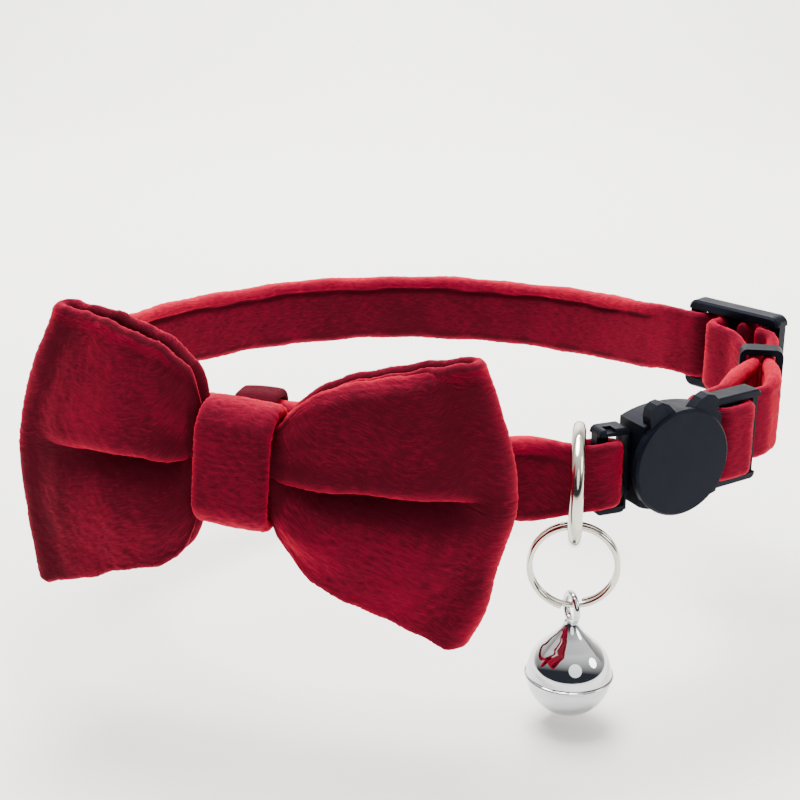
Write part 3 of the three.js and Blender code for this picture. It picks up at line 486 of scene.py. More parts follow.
def look_up(rows, key, at, column):
    """Values from a table at each place in at, smoothly between its rows."""
    xs = np.array([row[key] for row in rows], float)
    ys = np.array([row[column] for row in rows], float)
    slopes = np.empty(len(xs))
    slopes[1:-1] = (ys[2:] - ys[:-2]) / (xs[2:] - xs[:-2])
    slopes[0] = (ys[1] - ys[0]) / (xs[1] - xs[0])
    slopes[-1] = (ys[-1] - ys[-2]) / (xs[-1] - xs[-2])
    i = np.clip(np.searchsorted(xs, at, side="right") - 1, 0, len(xs) - 2)
    span = xs[i + 1] - xs[i]
    s = np.clip((at - xs[i]) / span, 0, 1)
    return (
        (2 * s**3 - 3 * s**2 + 1) * ys[i]
        + (s**3 - 2 * s**2 + s) * span * slopes[i]
        + (3 * s**2 - 2 * s**3) * ys[i + 1]
        + (s**3 - s**2) * span * slopes[i + 1]
    )


def noise_at(points):
    """Smooth noise from -1 to 1 at each point of an array."""
    flat = points.reshape(-1, 3)
    values = np.fromiter((noise.noise(p) for p in flat.tolist()), float, len(flat))
    return values.reshape(points.shape[:-1])


def smooth_step(low, high, value):
    """From 0 at low to 1 at high, with soft ends."""
    share = np.clip((value - low) / (high - low), 0, 1)
    return share * share * (3 - 2 * share)


def hump(value, centre, reach):
    """1 at the centre, falling smoothly to nothing about twice the reach away."""
    return np.exp(-(((value - centre) / reach) ** 2))


class PlanFrame:
    """A flat frame in plan. along runs with the strap, out points away from the neck, and z is up."""

    def __init__(self, x, y, turn, clockwise=False):
        angle = math.radians(turn)
        self.origin = np.array([x, y])
        self.along = np.array([math.cos(angle), math.sin(angle)])
        self.out = np.array([math.sin(angle), -math.cos(angle)]) * (-1 if clockwise else 1)

    def at(self, along, out):
        return self.origin + self.along * along + self.out * out

    def place(self, points, lift):
        """Local points, with x along, y toward the neck and z up, moved to the row frame."""
        x = np.array([*self.along, 0])
        y = np.cross(UP, x)
        moved = points[..., :1] * x + points[..., 1:2] * y + points[..., 2:3] * UP
        return moved + np.array([*self.origin, lift])


HEAD = PlanFrame(BUCKLE_X, BUCKLE_Y, BUCKLE_TURN)
MALE = PlanFrame(*HEAD.at(-HEAD_HALF_LENGTH, 0), BUCKLE_TURN - BUCKLE_CURVE)
FEMALE = PlanFrame(*HEAD.at(HEAD_HALF_LENGTH, 0), BUCKLE_TURN + BUCKLE_CURVE)
SLIDER = PlanFrame(SLIDER_X, SLIDER_Y, SLIDER_TURN, clockwise=True)
KEEPER = PlanFrame(KEEPER_X, KEEPER_Y, KEEPER_TURN)


def catmull_rom(points, steps):
    """A centripetal curve through points, sampled steps times between each two."""
    ghost = np.vstack([2 * points[0] - points[1], points, 2 * points[-1] - points[-2]])

    def between(p, q, low, high, t):
        return (high - t) / (high - low) * p + (t - low) / (high - low) * q

    samples = []
    for i in range(1, len(ghost) - 2):
        p0, p1, p2, p3 = near = ghost[i - 1 : i + 3]
        t0, t1, t2, t3 = np.cumsum([0, *np.linalg.norm(np.diff(near, axis=0), axis=1) ** 0.5])
        for t in np.linspace(t1, t2, steps, endpoint=False):
            a1 = between(p0, p1, t0, t1, t)
            a2 = between(p1, p2, t1, t2, t)
            a3 = between(p2, p3, t2, t3, t)
            b1, b2 = between(a1, a2, t0, t2, t), between(a2, a3, t1, t3, t)
            samples.append(between(b1, b2, t1, t2, t))
    samples.append(points[-1])
    return np.array(samples)


def free_run_points():
    scale = np.array([LOOP_HALF_WIDTH, LOOP_HALF_DEPTH, KNOT_LIFT])
    return np.array([[row["x"], row["y"], row["lift"]] for row in FREE_RUN]) * scale


def stops_on(plan, lift, thick, width, *places):
    """Stops in a plan frame. Each place is how far along and out it lies, and its corner's radius."""
    return [(*plan.at(along, out), lift, thick, width, bend) for along, out, bend in places]


def strap_stops():
    """Stops on the strap's way: x, y, lift, thickness, width and the radius that rounds the corner there."""
    thin = PINCHED_THICKNESS
    slim, loose = STRAP_THICKNESS * 0.85, STRAP_THICKNESS * 0.8
    layer, slot, half = thin + GAP, thin + 2 * GAP, thin / 2 + GAP
    over = BAR_THICKNESS / 2 + GAP + thin / 2
    high, mid = over + layer, slot / 2

    # From the sewn return, round the tongue half's bar and through the O ring
    male_length = slot + MALE_BAR_WIDTH
    skew = math.radians(BUCKLE_TURN - BUCKLE_CURVE + RING_TURN)
    ring_across = male_length + GAP + (RING_WIRE / 2 + FRAME_DEPTH / 2 * math.sin(skew)) / math.cos(skew)
    ring_width = STRAP_WIDTH * RING_SEAT
    sewn = ring_width * 0.9
    rail_top = MALE_LIFT - (MALE_HEIGHT - 2 * RAIL_HEIGHT - 2 * GAP) / 2
    sewn_lift, male_lift = rail_top + sewn / 2, rail_top + ring_width / 2
    sag, settle = 0.15, 0.25
    return_end = mid + SEWN_RETURN
    stops = stops_on(MALE, 0, thin, sewn, (-return_end, -3.8, 0), (-return_end * 0.75, -3.1, 0))
    stops += stops_on(MALE, -sag, thin, sewn, (-ring_across, -layer / 2 - settle, 0))
    stops += stops_on(MALE, sewn_lift, thin, sewn, (-male_length, -over, 0), (-mid, -over, half))
    stops += stops_on(MALE, male_lift, thin, ring_width, (-mid, over, half), (-male_length, over, 0))
    stops += stops_on(MALE, -sag, thin, ring_width, (-ring_across, layer / 2 + settle, 0))
    stops += stops_on(MALE, -sag / 2, slim, STRAP_WIDTH * 0.95, (-return_end * 0.75, -0.4, 0))

    # Round the neck
    for x, y, z in catmull_rom(free_run_points(), FREE_RUN_STEPS):
        stops.append((x, y, z, STRAP_THICKNESS, STRAP_WIDTH, 0))

    # Over the slider's bars and through the keeper
    in_slider = SLIDER, SLIDER_LIFT, thin, SLIDER_HEIGHT - 2 * SLIDER_RAIL - 2 * GAP
    slider_slot = (SLIDER_LENGTH - 3 * SLIDER_BAR) / 2
    middle_bar = SLIDER_BAR + slider_slot
    front_slot = middle_bar + SLIDER_BAR
    front_bar = front_slot + slider_slot
    stops += stops_on(SLIDER, SLIDER_LIFT / 2, slim, STRAP_WIDTH, (-8, -over + 1.1, 12))
    stops += stops_on(
        *in_slider,
        (-2.5, -over, 9),
        (SLIDER_BAR + half, -over, half),
        (SLIDER_BAR + half + GAP, high, half),
        (front_bar - half - GAP, high, half),
        (front_bar - half, -over, half),
        (SLIDER_LENGTH, -over - 0.25, 3),
    )
    in_keeper = thin, STRAP_WIDTH * 0.95
    free_layer = loose, STRAP_WIDTH
    inside = KEEPER_WIDTH / 2
    stops += stops_on(KEEPER, KEEPER_LIFT + 0.2, *in_keeper, (3.9, layer / 2 + 0.75, 0))
    stops += stops_on(KEEPER, KEEPER_LIFT, *in_keeper, (inside, layer / 2, 0), (-inside, layer / 2, 0))
    beside = (-5, layer / 2 + 0.2, 0), (-9.5, layer / 2 + 0.1, 0)
    stops += stops_on(KEEPER, BUCKLE_LIFT, *free_layer, *beside)

    # Round the cat head half's middle bar
    in_frame = BUCKLE_LIFT, thin, FRAME_HEIGHT - 2 * RAIL_HEIGHT - 2 * GAP
    end_slot = slot + MIDDLE_BAR_WIDTH + mid
    stops += stops_on(KEEPER, *in_frame, (-13, layer / 2 - 1, 3))
    stops += stops_on(
        FEMALE,
        *in_frame,
        (end_slot, -over, half),
        (end_slot, over, half),
        (mid, over, half),
        (mid, -over - layer, half + GAP),
        (end_slot + 1.5, -over - layer * 1.7, 3),
    )

    # Back through the keeper to the slider's middle bar
    back = -layer / 2
    stops += stops_on(KEEPER, KEEPER_LIFT, *free_layer, (-6.5, back - 2.4, 0), (-4, back - 1.2, 0))
    inner = (-inside, back, 0), (inside, back, 0), (4, back - 1.2, 0)
    stops += stops_on(KEEPER, KEEPER_LIFT, *in_keeper, *inner)
    stops += stops_on(
        *in_slider,
        (SLIDER_LENGTH * 0.72, -over - layer * 1.9, 4),
        (middle_bar - half, -over - layer * 1.45, 2 * half),
        (middle_bar - half, over, half),
        (front_slot + half, over, half),
        (front_slot + half, -over + GAP, 0),
    )
    return stops


def round_corners(stops):
    """Rows of x, y, lift, thickness and width, with an arc of short steps at each rounded corner."""
    rows = []
    for i, stop in enumerate(stops):
        *row, bend = stop
        if not bend or i in (0, len(stops) - 1):
            rows.append(row)
            continue
        here = np.array(stop[:2])
        to_before = np.array(stops[i - 1][:2]) - here
        to_after = np.array(stops[i + 1][:2]) - here
        length_in, length_out = np.linalg.norm(to_before), np.linalg.norm(to_after)
        dir_in, dir_out = to_before / length_in, to_after / length_out
        corner = math.acos(np.clip(dir_in @ dir_out, -1, 1))
        reach = min(bend / math.tan(corner / 2), length_in / 2, length_out / 2)
        radius = reach * math.tan(corner / 2)
        bisector = dir_in + dir_out
        centre = here + bisector / np.linalg.norm(bisector) * radius / math.sin(corner / 2)
        start, end = here + dir_in * reach - centre, here + dir_out * reach - centre
        sweep = math.atan2(start[0] * end[1] - start[1] * end[0], start @ end)
        for share in np.linspace(0, 1, max(4, int(abs(sweep) / math.radians(10)))):
            c, s = math.cos(sweep * share), math.sin(sweep * share)
            spoke = np.array([start[0] * c - start[1] * s, start[0] * s + start[1] * c])
            rows.append([*(centre + spoke), *row[LIFT:]])
    return np.array(rows)


def way_along(rows):
    """How far along the way each row lies, measured on the first two columns."""
    steps = np.linalg.norm(np.diff(rows[:, :2], axis=0), axis=1)
    return np.concatenate([[0], np.cumsum(np.maximum(steps, 1e-6))])


def rows_at(rows, way, places):
    """The rows at other places along the way."""
    return np.column_stack([np.interp(places, way, column) for column in rows.T])


def smoothed(values, reach):
    """Values averaged over their neighbours on both sides."""
    weights = np.hanning(2 * reach + 3)[1:-1]
    return np.convolve(np.pad(values, reach, mode="edge"), weights / weights.sum(), mode="valid")


def strap_rows():
    """Rows of the strap at even steps along its way, smoothed more where it runs free."""
    rows = round_corners(strap_stops())
    way = way_along(rows)
    rows = rows_at(rows, way, np.linspace(0, way[-1], int(way[-1] / RING_STEP)))
    eased = EASED_THICKNESS * STRAP_THICKNESS
    free = smoothed(np.clip((rows[:, THICK] - eased) / (STRAP_THICKNESS * (1 - EASED_THICKNESS)), 0, 1), 14)
    for column in (X, Y):
        held, eased = smoothed(rows[:, column], 1), smoothed(rows[:, column], 22)
        rows[:, column] = held * (1 - free) + eased * free
    for column, reach in ((LIFT, 8), (THICK, 5), (WIDTH, 5)):
        rows[:, column] = smoothed(rows[:, column], reach)
    return rows


def cloth_grids(rings, closed=False):
    """Millimetres along and round each ring. A closed one counts on, back to its start."""
    ends = {"append": rings[:1]} if closed else {}
    steps_u = np.linalg.norm(np.diff(rings, axis=0, **ends), axis=2).mean(axis=1)
    ends = {"append": rings[:, :1]} if closed else {}
    steps_v = np.linalg.norm(np.diff(rings, axis=1, **ends), axis=2)
    u = np.concatenate([[0], np.cumsum(steps_u)])[:, None] * np.ones((1, steps_v.shape[1] + 1))
    v = np.concatenate([np.zeros((len(rings), 1)), np.cumsum(steps_v, axis=1)], axis=1)
    return u, v


def sheet_of_rings(name, rings, closed, cap=False):
    """A mesh over rings of points in millimetres, with UVs in decimetres: u runs along, v round the ring."""
    count, around = rings.shape[:2]
    last = count if closed else count - 1
    i, j = np.meshgrid(np.arange(last), np.arange(around), indexing="ij")
    i2, j2 = (i + 1) % count, (j + 1) % around
    faces = np.stack([i * around + j, i2 * around + j, i2 * around + j2, i * around + j2], -1).reshape(-1, 4)
    u, v = cloth_grids(rings, closed=True)
    u = u[:, 0]
    corners = [(u[i], v[i, j]), (u[i + 1], v[i2, j]), (u[i + 1], v[i2, j + 1]), (u[i], v[i, j + 1])]
    uvs = np.stack([np.stack(c, -1) for c in corners], 2).reshape(-1, 2) * (MM / DECIMETRE)
    a, b, c, d = np.moveaxis(rings.reshape(-1, 3)[faces], 1, 0)
    volume = np.einsum("ij,ij->", a, np.cross(b, c) + np.cross(c, d))
    mesh = bpy.data.meshes.new(name)
    polygons = faces.tolist()
    if cap:
        polygons += [list(range(around)), list(range(count * around - 1, (count - 1) * around - 1, -1))]
        uvs = np.vstack([uvs, np.zeros((2 * around, 2))])
    mesh.from_pydata((rings.reshape(-1, 3) * MM).tolist(), [], polygons)
    layer = mesh.uv_layers.new(name="UVMap")
    layer.data.foreach_set("uv", uvs.astype(np.float32).ravel())
    mesh.polygons.foreach_set("use_smooth", np.ones(len(mesh.polygons), bool))
    if volume < 0:
        mesh.flip_normals()
    mesh.update()
    return mesh


def vectors_of(items, key):
    """One vector of each item, as rows of an array."""
    values = np.empty(len(items) * 3, np.float32)
    items.foreach_get(key, values)
    return values.reshape(-1, 3).astype(float)


def raise_pile(mesh, rings, across=False, seed=0.0):
    """Stands the brushed strokes of the pile out of the cloth."""
    look = bpy.context.scene.collar_velvet
    long_mm, short_mm = look.stroke_length / MM, look.stroke_width / MM
    u, v = cloth_grids(rings)

    def pattern(x, y, layer):
        return noise_at(np.stack([x, y, np.full_like(x, seed + layer)], -1))

    # The strokes wander by up to 1.4 mm in waves of 4.5 mm, and finer ones lie among them
    run, side = (v, u) if across else (u, v)
    side = side + pattern(u / 4.5, v / 4.5, 0) * 1.4
    strokes = pattern(run / long_mm, side / short_mm, 3)
    small = pattern(run / long_mm * 2.3, side / short_mm * 2.1, 7)
    height = (strokes + 0.5 * small).ravel() * look.relief
    moved = vectors_of(mesh.vertices, "co") + vectors_of(mesh.vertex_normals, "vector") * height[:, None]
    mesh.vertices.foreach_set("co", moved.astype(np.float32).ravel())
    mesh.update()


def set_shade_and_highlight(mesh, values):
    """Painted highlight (above 0) or painted shade (below 0) at each vertex of the mesh."""
    layer = mesh.attributes.new("shade_and_highlight", "FLOAT", "POINT")
    layer.data.foreach_set("value", np.asarray(values, np.float32).ravel())


def new_object(name, data):
    """An object in the scene."""
    made = bpy.data.objects.new(name, data)
    bpy.context.scene.collection.objects.link(made)
    return made


def modify(piece, name, kind, **settings):
    """Adds a modifier with its settings."""
    modifier = piece.modifiers.new(name, kind)
    for key, value in settings.items():
        setattr(modifier, key, value)


def add_piece(mesh, material, body, slot, *nodes):
    """Links a mesh as a piece on a body. It stands for the CAD nodes named."""
    mesh.materials.append(material)
    piece = new_object(mesh.name, mesh)
    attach(piece, body)
    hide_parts(*nodes)
    return piece


def band_section(half_thick, half_width, face_points, edge_points, dome):
    """Round the section of a padded band: columns are the thickness and the width, in millimetres."""
    radius = half_thick * 0.92
    face = np.linspace(-1, 1, face_points)
    reach = half_width - radius
    edge = np.radians(np.linspace(-90, 90, edge_points + 2)[1:-1])
    outer = np.column_stack([half_thick + dome * (1 - face**2), face * reach])
    top = np.column_stack([radius * np.sin(-edge), reach + radius * np.cos(edge)])
    return np.vstack([outer, top, -outer, -top])


def tangents(path, closed):
    """Unit steps along a path."""
    run = np.roll(path, -1, axis=0) - np.roll(path, 1, axis=0) if closed else np.gradient(path, axis=0)
    return run / np.linalg.norm(run, axis=1)[:, None]


def strap_rings():
    """Rings of the strap, puckered, with the seam that runs below its top edge."""
    rows = strap_rows()
    run = tangents(rows[:, :2], closed=False)
    rings, shade_and_highlight = [], []
    for i, (x, y, lift, thick, width) in enumerate(rows):
        way = i * RING_STEP
        free = np.clip((thick - PINCHED_THICKNESS) / (STRAP_THICKNESS - PINCHED_THICKNESS), 0, 1)
        section = band_section(thick / 2, width / 2, face_points=24, edge_points=7, dome=STRAP_DOME * free)
        across, up = section[:, 0], section[:, 1]
        # Sewn on both faces, and plainer on the one that shows outside
        face = np.sign(across) * np.where(across < 0, SEAM_OUTSIDE, 1)
        waver = 0.12 * math.sin(way / 3.3) + 0.09 * math.sin(way / 1.3)
        seam_at = width / 2 - SEAM_BELOW_EDGE + waver
        seam = hump(up, seam_at, SEAM_REACH) * np.abs(face)
        turned = smooth_step(seam_at, seam_at + 0.6, up)
        across = across + face * (TURNED_RISE * turned - SEAM_DEPTH * seam) * free
        pucker = PUCKER * free * math.sin(way / 2.1) * math.sin(way / 5.3)
        up = up + pucker * np.sign(up) * (np.abs(up) > width / 2 - 1.2)
        rings.append(np.column_stack([x + run[i, 1] * across, y - run[i, 0] * across, lift + up]))
        # Painted shade in the seam's groove, beating along it like stitches, and along the bottom edge, and a
        # painted highlight on the turned strip at the top edge
        stitch_shade = 0.6 + 0.4 * math.sin(way / 1.1)
        top_highlight = smooth_step(width / 2 - 1.7, width / 2 - 1.2, up)
        low_edge_shade = hump(up, 1.1 - width / 2, 0.25) * 0.3
        shade_and_highlight.append(free * (0.2 * top_highlight - (0.5 * seam + low_edge_shade) * stitch_shade))
    return np.array(rings), np.array(shade_and_highlight)


def rounded_ends(rings, steps):
    """Closes both ends of a band with a few shrinking rings."""
    ends = []
    for ring, near in ((rings[0], rings[1]), (rings[-1], rings[-2])):
        way = (ring - near).mean(axis=0)
        way = way / np.linalg.norm(way)
        centre = ring.mean(axis=0)
        angles = [math.radians(80 * k / steps) for k in range(1, steps + 1)]
        shrunk = [centre + (ring - centre) * (0.9 + 0.1 * math.cos(a)) + way * 0.4 * math.sin(a) for a in angles]
        ends.append(np.array(shrunk))
    return np.vstack([ends[0][::-1], rings, ends[1]])


def knot_frame():
    """Plan frames of the strap where the bow sits and of the waist in front of it, and half its thickness."""
    steps = 8
    run = catmull_rom(free_run_points()[:, :2], steps)
    at = KNOT_ROW * steps
    tangent = run[at - 1] - run[at + 1]
    turn = math.degrees(math.atan2(tangent[1], tangent[0]))
    place = PlanFrame(*run[at], turn)
    waist_half = BOW_PUFF * WING[LEFT][0]["puff"] + BOW_WALL / 2
    out = STRAP_THICKNESS / 2 + BOW_LOOP_EASE + BOW_LOOP_WALL + GAP + KNOT_WALL + KNOT_EASE + waist_half
    return place, PlanFrame(*place.at(0, out), turn), waist_half


def wing_surface(side, face, along, nose, height):
    """The cloth's middle surface: along and height are shares, nose is the angle round the outer fold."""

    def share(column):
        return look_up(WING[side], "along", along, column)

    # The wing starts at the rolled side of the knot band
    start = KNOT_WIDTH / 2 + CLOTH_GAP + side * height * WAIST_HALF_HEIGHT * math.sin(math.radians(BOW_ROLL))
    reach = look_up(FOLD[side], "height", height, "reach") * BOW_REACH - start - FOLD_RADIUS
    top = share("top") * BOW_HALF_HEIGHT - BOW_WALL / 2
    bottom = share("bottom") * BOW_HALF_HEIGHT + BOW_WALL / 2
    # The cut edges wander a little, as soft velvet does
    wander = EDGE_WANDER * np.sin(along * 9 + side) * np.sin(along * 23 + 2)
    z = (top + bottom) / 2 + height * ((top - bottom) / 2 + wander)
    distance = along * reach + FOLD_RADIUS * np.sin(nose)
    puff = share("puff") * BOW_PUFF
    crown = BOW_CROWN - 0.5 * height**2
    centre = CREASE_HEIGHT[side]
    crease = share("crease")
    pinch = hump(height, centre, np.where(height > centre, CREASE_ABOVE, CREASE_BELOW))
    # The gathers fade out from the knot
    gather = np.cos(height * math.pi * 3.2) * (1 - along) ** 3 * np.minimum(1, along * 8) * GATHER_DEPTH
    if face > 0:
        depth = puff * crown - crease * pinch * CREASE_DEPTH + gather
        # The cloth above the crease hangs over it
        lip = crease * hump(height, centre + CREASE_ABOVE * 1.2, CREASE_ABOVE)
        z = z - lip * LIP_DROP
        depth = depth + lip * LIP_RISE
        if side == RIGHT:
            # The front turns over at the top and runs back to the other layer
            over = smooth_step(0.88, 1, height)
            fade = smooth_step(0, 0.15, along) * (1 - smooth_step(0.8, 1.0, along))
            back = -puff * crown + BOW_WALL
            depth = depth + (back - depth) * over * fade
            z = z + (0.3 - TURNED_DROP * smooth_step(0.5, 1, over)) * over * fade
    else:
        depth = puff * (crown - 0.06) - crease * pinch * BACK_CREASE_DEPTH + gather
    depth = (depth + (FOLD_RADIUS - depth) * smooth_step(0.8, 1, along)) * np.cos(nose)
    sweep = math.radians(BOW_SWEEP)
    x = side * (start + distance * math.cos(sweep))
    y = -(face * depth - distance * math.sin(sweep))
    return np.stack([x, y, z], -1)


def wing_shade_and_highlight(side, face, along, height):
    """Painted shade in the crease and in the gathers beside the knot, and a painted highlight along the top
    edge.
    """
    if face < 0:
        return np.zeros_like(height)
    centre = CREASE_HEIGHT[side]
    crease = look_up(WING[side], "along", along, "crease")
    narrow, wide = hump(height, centre - 0.03, 0.06), hump(height, centre - 0.06, 0.16)
    beside = (1 - smooth_step(0, 0.08, along)) * 0.3
    rim_highlight = smooth_step(0.9, 0.98, height) * 0.12 * smooth_step(0, 0.3, along)
    # Darker below the crease and towards the outer fold
    down, outwards = (0.06, 0.13) if side == LEFT else (-0.03, 0.04)
    darker_below_crease = down * (1 - smooth_step(centre - 0.3, centre, height))
    turned = outwards * smooth_step(0.65, 0.95, along)
    return rim_highlight - beside - darker_below_crease - turned - crease * (0.75 * narrow + 0.2 * wide)


def cloth_columns(side):
    """Face, share along and fold angle of each column of the cloth on one half of the bow."""
    shares = np.linspace(0, 1, WING_STEPS, endpoint=False)
    front = [(1, a, 0.0) for a in shares]
    angles = np.linspace(0, math.pi, NOSE_STEPS)
    turn = [(1 if a <= math.pi / 2 else -1, 1.0, min(a, math.pi - a)) for a in angles]
    back = [(-1, a, 0.0) for a in shares[::-1]]
    half = front + turn + back
    return half if side == LEFT else half[::-1]


def bow_rings():
    """Closed rings of the bow's cloth: outer face, top edge, inner face, bottom edge."""
    # Rows lie closer together at the crease and at the top edge
    dense = np.linspace(-1, 1, 400)
    pull = 1 + 2.5 * hump(dense, CREASE_HEIGHT[RIGHT], 0.07) + 3 * hump(dense, 0.95, 0.06)
    heights = np.interp(np.linspace(0, pull.sum(), OUTSIDE_ROWS), np.cumsum(pull), dense)
    level = np.ones_like(heights)
    grids, wing_shades_and_highlights = [], []
    for side in (LEFT, RIGHT):
        columns = cloth_columns(side)
        grids.append(np.array([wing_surface(side, f, a * level, n * level, heights) for f, a, n in columns]))
        wing_shades_and_highlights.append(np.array([wing_shade_and_highlight(side, f, a * level, heights) for f, a, _ in columns]))

    def bridge(a, b):
        shares = np.linspace(0, 1, WAIST_STEPS + 2)[1:-1, None, None]
        return a[None] * (1 - shares) + b[None] * shares

    left, right = grids
    cloth = np.concatenate([left, bridge(left[-1], right[0]), right, bridge(right[-1], left[0])])
    run = np.roll(cloth, -1, axis=0) - np.roll(cloth, 1, axis=0)
    rise = np.gradient(cloth, axis=1)
    normal = np.cross(run, rise)
    normal /= np.linalg.norm(normal, axis=2)[..., None]
    # The left wing's front comes first, and its outside faces the viewer
    front_column, front_row = 10, 50
    if normal[front_column, front_row, 1] > 0:
        normal = -normal
    # A slow unevenness in the stuffed cloth, and a finer one
    swell = noise_at(cloth / 9.0) * 0.4 + noise_at(cloth / 3.5 + 5) * 0.12
    cloth = cloth + normal * swell[..., None]
    wall = BOW_WALL / 2
    outer = cloth + normal * wall
    inner_rows = np.linspace(0, OUTSIDE_ROWS - 1, INSIDE_ROWS).astype(int)[::-1]
    inner = (cloth - normal * wall)[:, inner_rows]
    edges = []
    for end, sign in ((-1, 1), (0, -1)):
        tangent = rise[:, end] * sign
        tangent /= np.linalg.norm(tangent, axis=1)[:, None]
        angles = np.radians(np.linspace(90, -90, 8)[1:-1])
        edge = [cloth[:, end] + wall * (math.sin(t) * normal[:, end] + math.cos(t) * tangent) for t in angles]
        edges.append(np.stack(edge[::sign], axis=1))
    rings = np.concatenate([outer, edges[0], inner, edges[1]], axis=1)
    # Painted shade, a little darker, on the inner face, the cut edges and the waist under the knot band
    shade_and_highlight = np.full(rings.shape[:2], -0.06)
    for first, half in zip((0, len(left) + WAIST_STEPS), wing_shades_and_highlights):
        shade_and_highlight[first : first + len(half), :OUTSIDE_ROWS] = half
    return rings, shade_and_highlight


def band_loop(half_in, half_up, wall, width, corner, along_points, face_points):
    """A padded band bent round an oblong opening, in local millimetres: x along the strap, y deep, z up."""
    deep, up = half_in + wall / 2 - corner, half_up + wall / 2 - corner
    middle = []
    for start, sign_y, sign_z in ((0, 1, 1), (90, -1, 1), (180, -1, -1), (270, 1, -1)):
        for angle in np.radians(np.linspace(start, start + 90, 10)):
            y, z = sign_y * deep + corner * math.cos(angle), sign_z * up + corner * math.sin(angle)
            middle.append((y, z))
    middle = np.array(middle + middle[:1])
    way = way_along(middle)
    path = rows_at(middle, way, np.linspace(0, way[-1], along_points, endpoint=False))
    run = tangents(path, closed=True)
    section = band_section(wall / 2, width / 2, face_points, edge_points=6, dome=0.12)
    across, along = section[:, 0], section[:, 1]
    rings = [np.column_stack([along, y + b * across, z - a * across]) for (y, z), (a, b) in zip(path, run)]
    return np.array(rings)


def roll(points, degrees):
    """Turned clockwise as seen from the front."""
    c, s = math.cos(math.radians(degrees)), math.sin(math.radians(degrees))
    x, z = points[..., 0] * c + points[..., 2] * s, -points[..., 0] * s + points[..., 2] * c
    return np.stack([x, points[..., 1], z], -1)


def full_turn(count):
    """Even angles once round."""
    return np.linspace(0, 2 * math.pi, count, endpoint=False)


def upright_circle(centre, radius, level, angles):
    """Points at the angles round an upright circle. level is its level direction."""
    return centre + radius * (np.cos(angles)[:, None] * level + np.sin(angles)[:, None] * UP)


def wire_rings(path, radius, points_around, closed):
    """Rings round a wire's path in millimetres."""
    run = tangents(path, closed)
    away = path - path.mean(axis=0)
    away -= (away * run).sum(axis=1)[:, None] * run
    away /= np.linalg.norm(away, axis=1)[:, None]
    side = np.cross(run, away)
    angles = full_turn(points_around)[None, :, None]
    return path[:, None] + radius * (np.cos(angles) * away[:, None] + np.sin(angles) * side[:, None])


class COLLAR_OT_stage(bpy.types.Operator):
    """Camera, floor and soft lights"""

    bl_idname = "collar.stage"
    bl_label = "Stage"

    def execute(self, context):
        look = context.scene.collar_stage
        camera = new_object("camera", bpy.data.cameras.new("camera"))
        camera.location = Vector(CAMERA_PLACE) * MM
        camera.rotation_euler = (math.radians(90 - CAMERA_PITCH), 0, 0)
        camera.data.lens = CAMERA_LENS
        camera.data.sensor_width = 36
        camera.data.clip_start = 0.01
        context.scene.camera = camera
        self.floor(look)
        self.light("overhead", at=(-0.08, 0.05, 0.6), aim=(0, 0, 0), size=0.45, power=look.key)
        self.light("beside_camera", at=(0.14, -0.55, 0.32), aim=(0, -0.02, 0), size=0.4, power=look.fill)
        self.light("right_side", at=(0.5, -0.12, 0.25), aim=(0.02, 0, 0), size=0.22, power=look.fill * 1.1)
        self.light("wall_wash", at=(0, 0.25, 0.5), aim=(0, 0.75, 0.1), size=0.3, power=look.wash)
        world = bpy.data.worlds.new("studio")
        world.use_nodes = True
        tree = world.node_tree
        # A dim room in front of the collar, and brighter walls above and behind it
        place = add_node(tree, "ShaderNodeTexCoord").outputs["Generated"]
        toward_wall = maths(tree, "DOT_PRODUCT", place, (0.1, 0.5, 0.87), vector=True)
        room = colour_ramp(tree, toward_wall, (0.0, DIM_ROOM), (0.75, BRIGHT_WALL))
        # The eye sees a pale wall there, and only the metal and plastic mirror the dim room
        seen = add_node(tree, "ShaderNodeLightPath").outputs["Is Camera Ray"]
        settings = {"data_type": "RGBA", MIX_SECOND: PALE_WALL}
        wall = add_node(tree, "ShaderNodeMix", settings, {MIX_FACTOR: seen, MIX_FIRST: room})
        fill(tree, tree.nodes["Background"], {"Strength": 1.6}, {"Color": wall.outputs[MIX_RESULT]})
        context.scene.world = world
        return {"FINISHED"}

    def floor(self, look):
        """A sheet 5 m wide that curves up into the backdrop, in metres."""
        half_width, bend_start, bend, top = 2.5, 0.45, 0.25, 1.2
        angles = np.radians(np.linspace(8, 90, 12))
        profile = [(-half_width, 0.0), (bend_start, 0.0)]
        profile += [(bend_start + bend * math.sin(a), bend - bend * math.cos(a)) for a in angles]
        profile += [(bend_start + bend, top)]
        vertices = [(x, y, z + look.floor) for y, z in profile for x in (-half_width, half_width)]
        faces = [(2 * i, 2 * i + 1, 2 * i + 3, 2 * i + 2) for i in range(len(profile) - 1)]
        mesh = bpy.data.meshes.new("floor")
        mesh.from_pydata(vertices, [], faces)
        for polygon in mesh.polygons:
            polygon.use_smooth = True
        material, tree, surface, _, solid = new_material("matt_paper_sweep")
        fibre = grain(tree, solid, 900.0, Detail=2.0)
        settings = {"Base Color": (*look.pale, 1), "Roughness": 0.6}
        fill(tree, surface, settings, {"Normal": bump(tree, fibre, 0.05, 0.05)})
        mesh.materials.append(material)
        floor = new_object("floor", mesh)

    def light(self, name, at, aim, size, power):
        """A round soft light, with its place and its aim in metres."""
        lamp = bpy.data.lights.new(name, "AREA")
        lamp.shape = "DISK"
        lamp.size = size
        lamp.energy = power
        light = new_object(name, lamp)
        light.location = at
        light.rotation_euler = (Vector(aim) - Vector(at)).to_track_quat("-Z", "Y").to_euler()


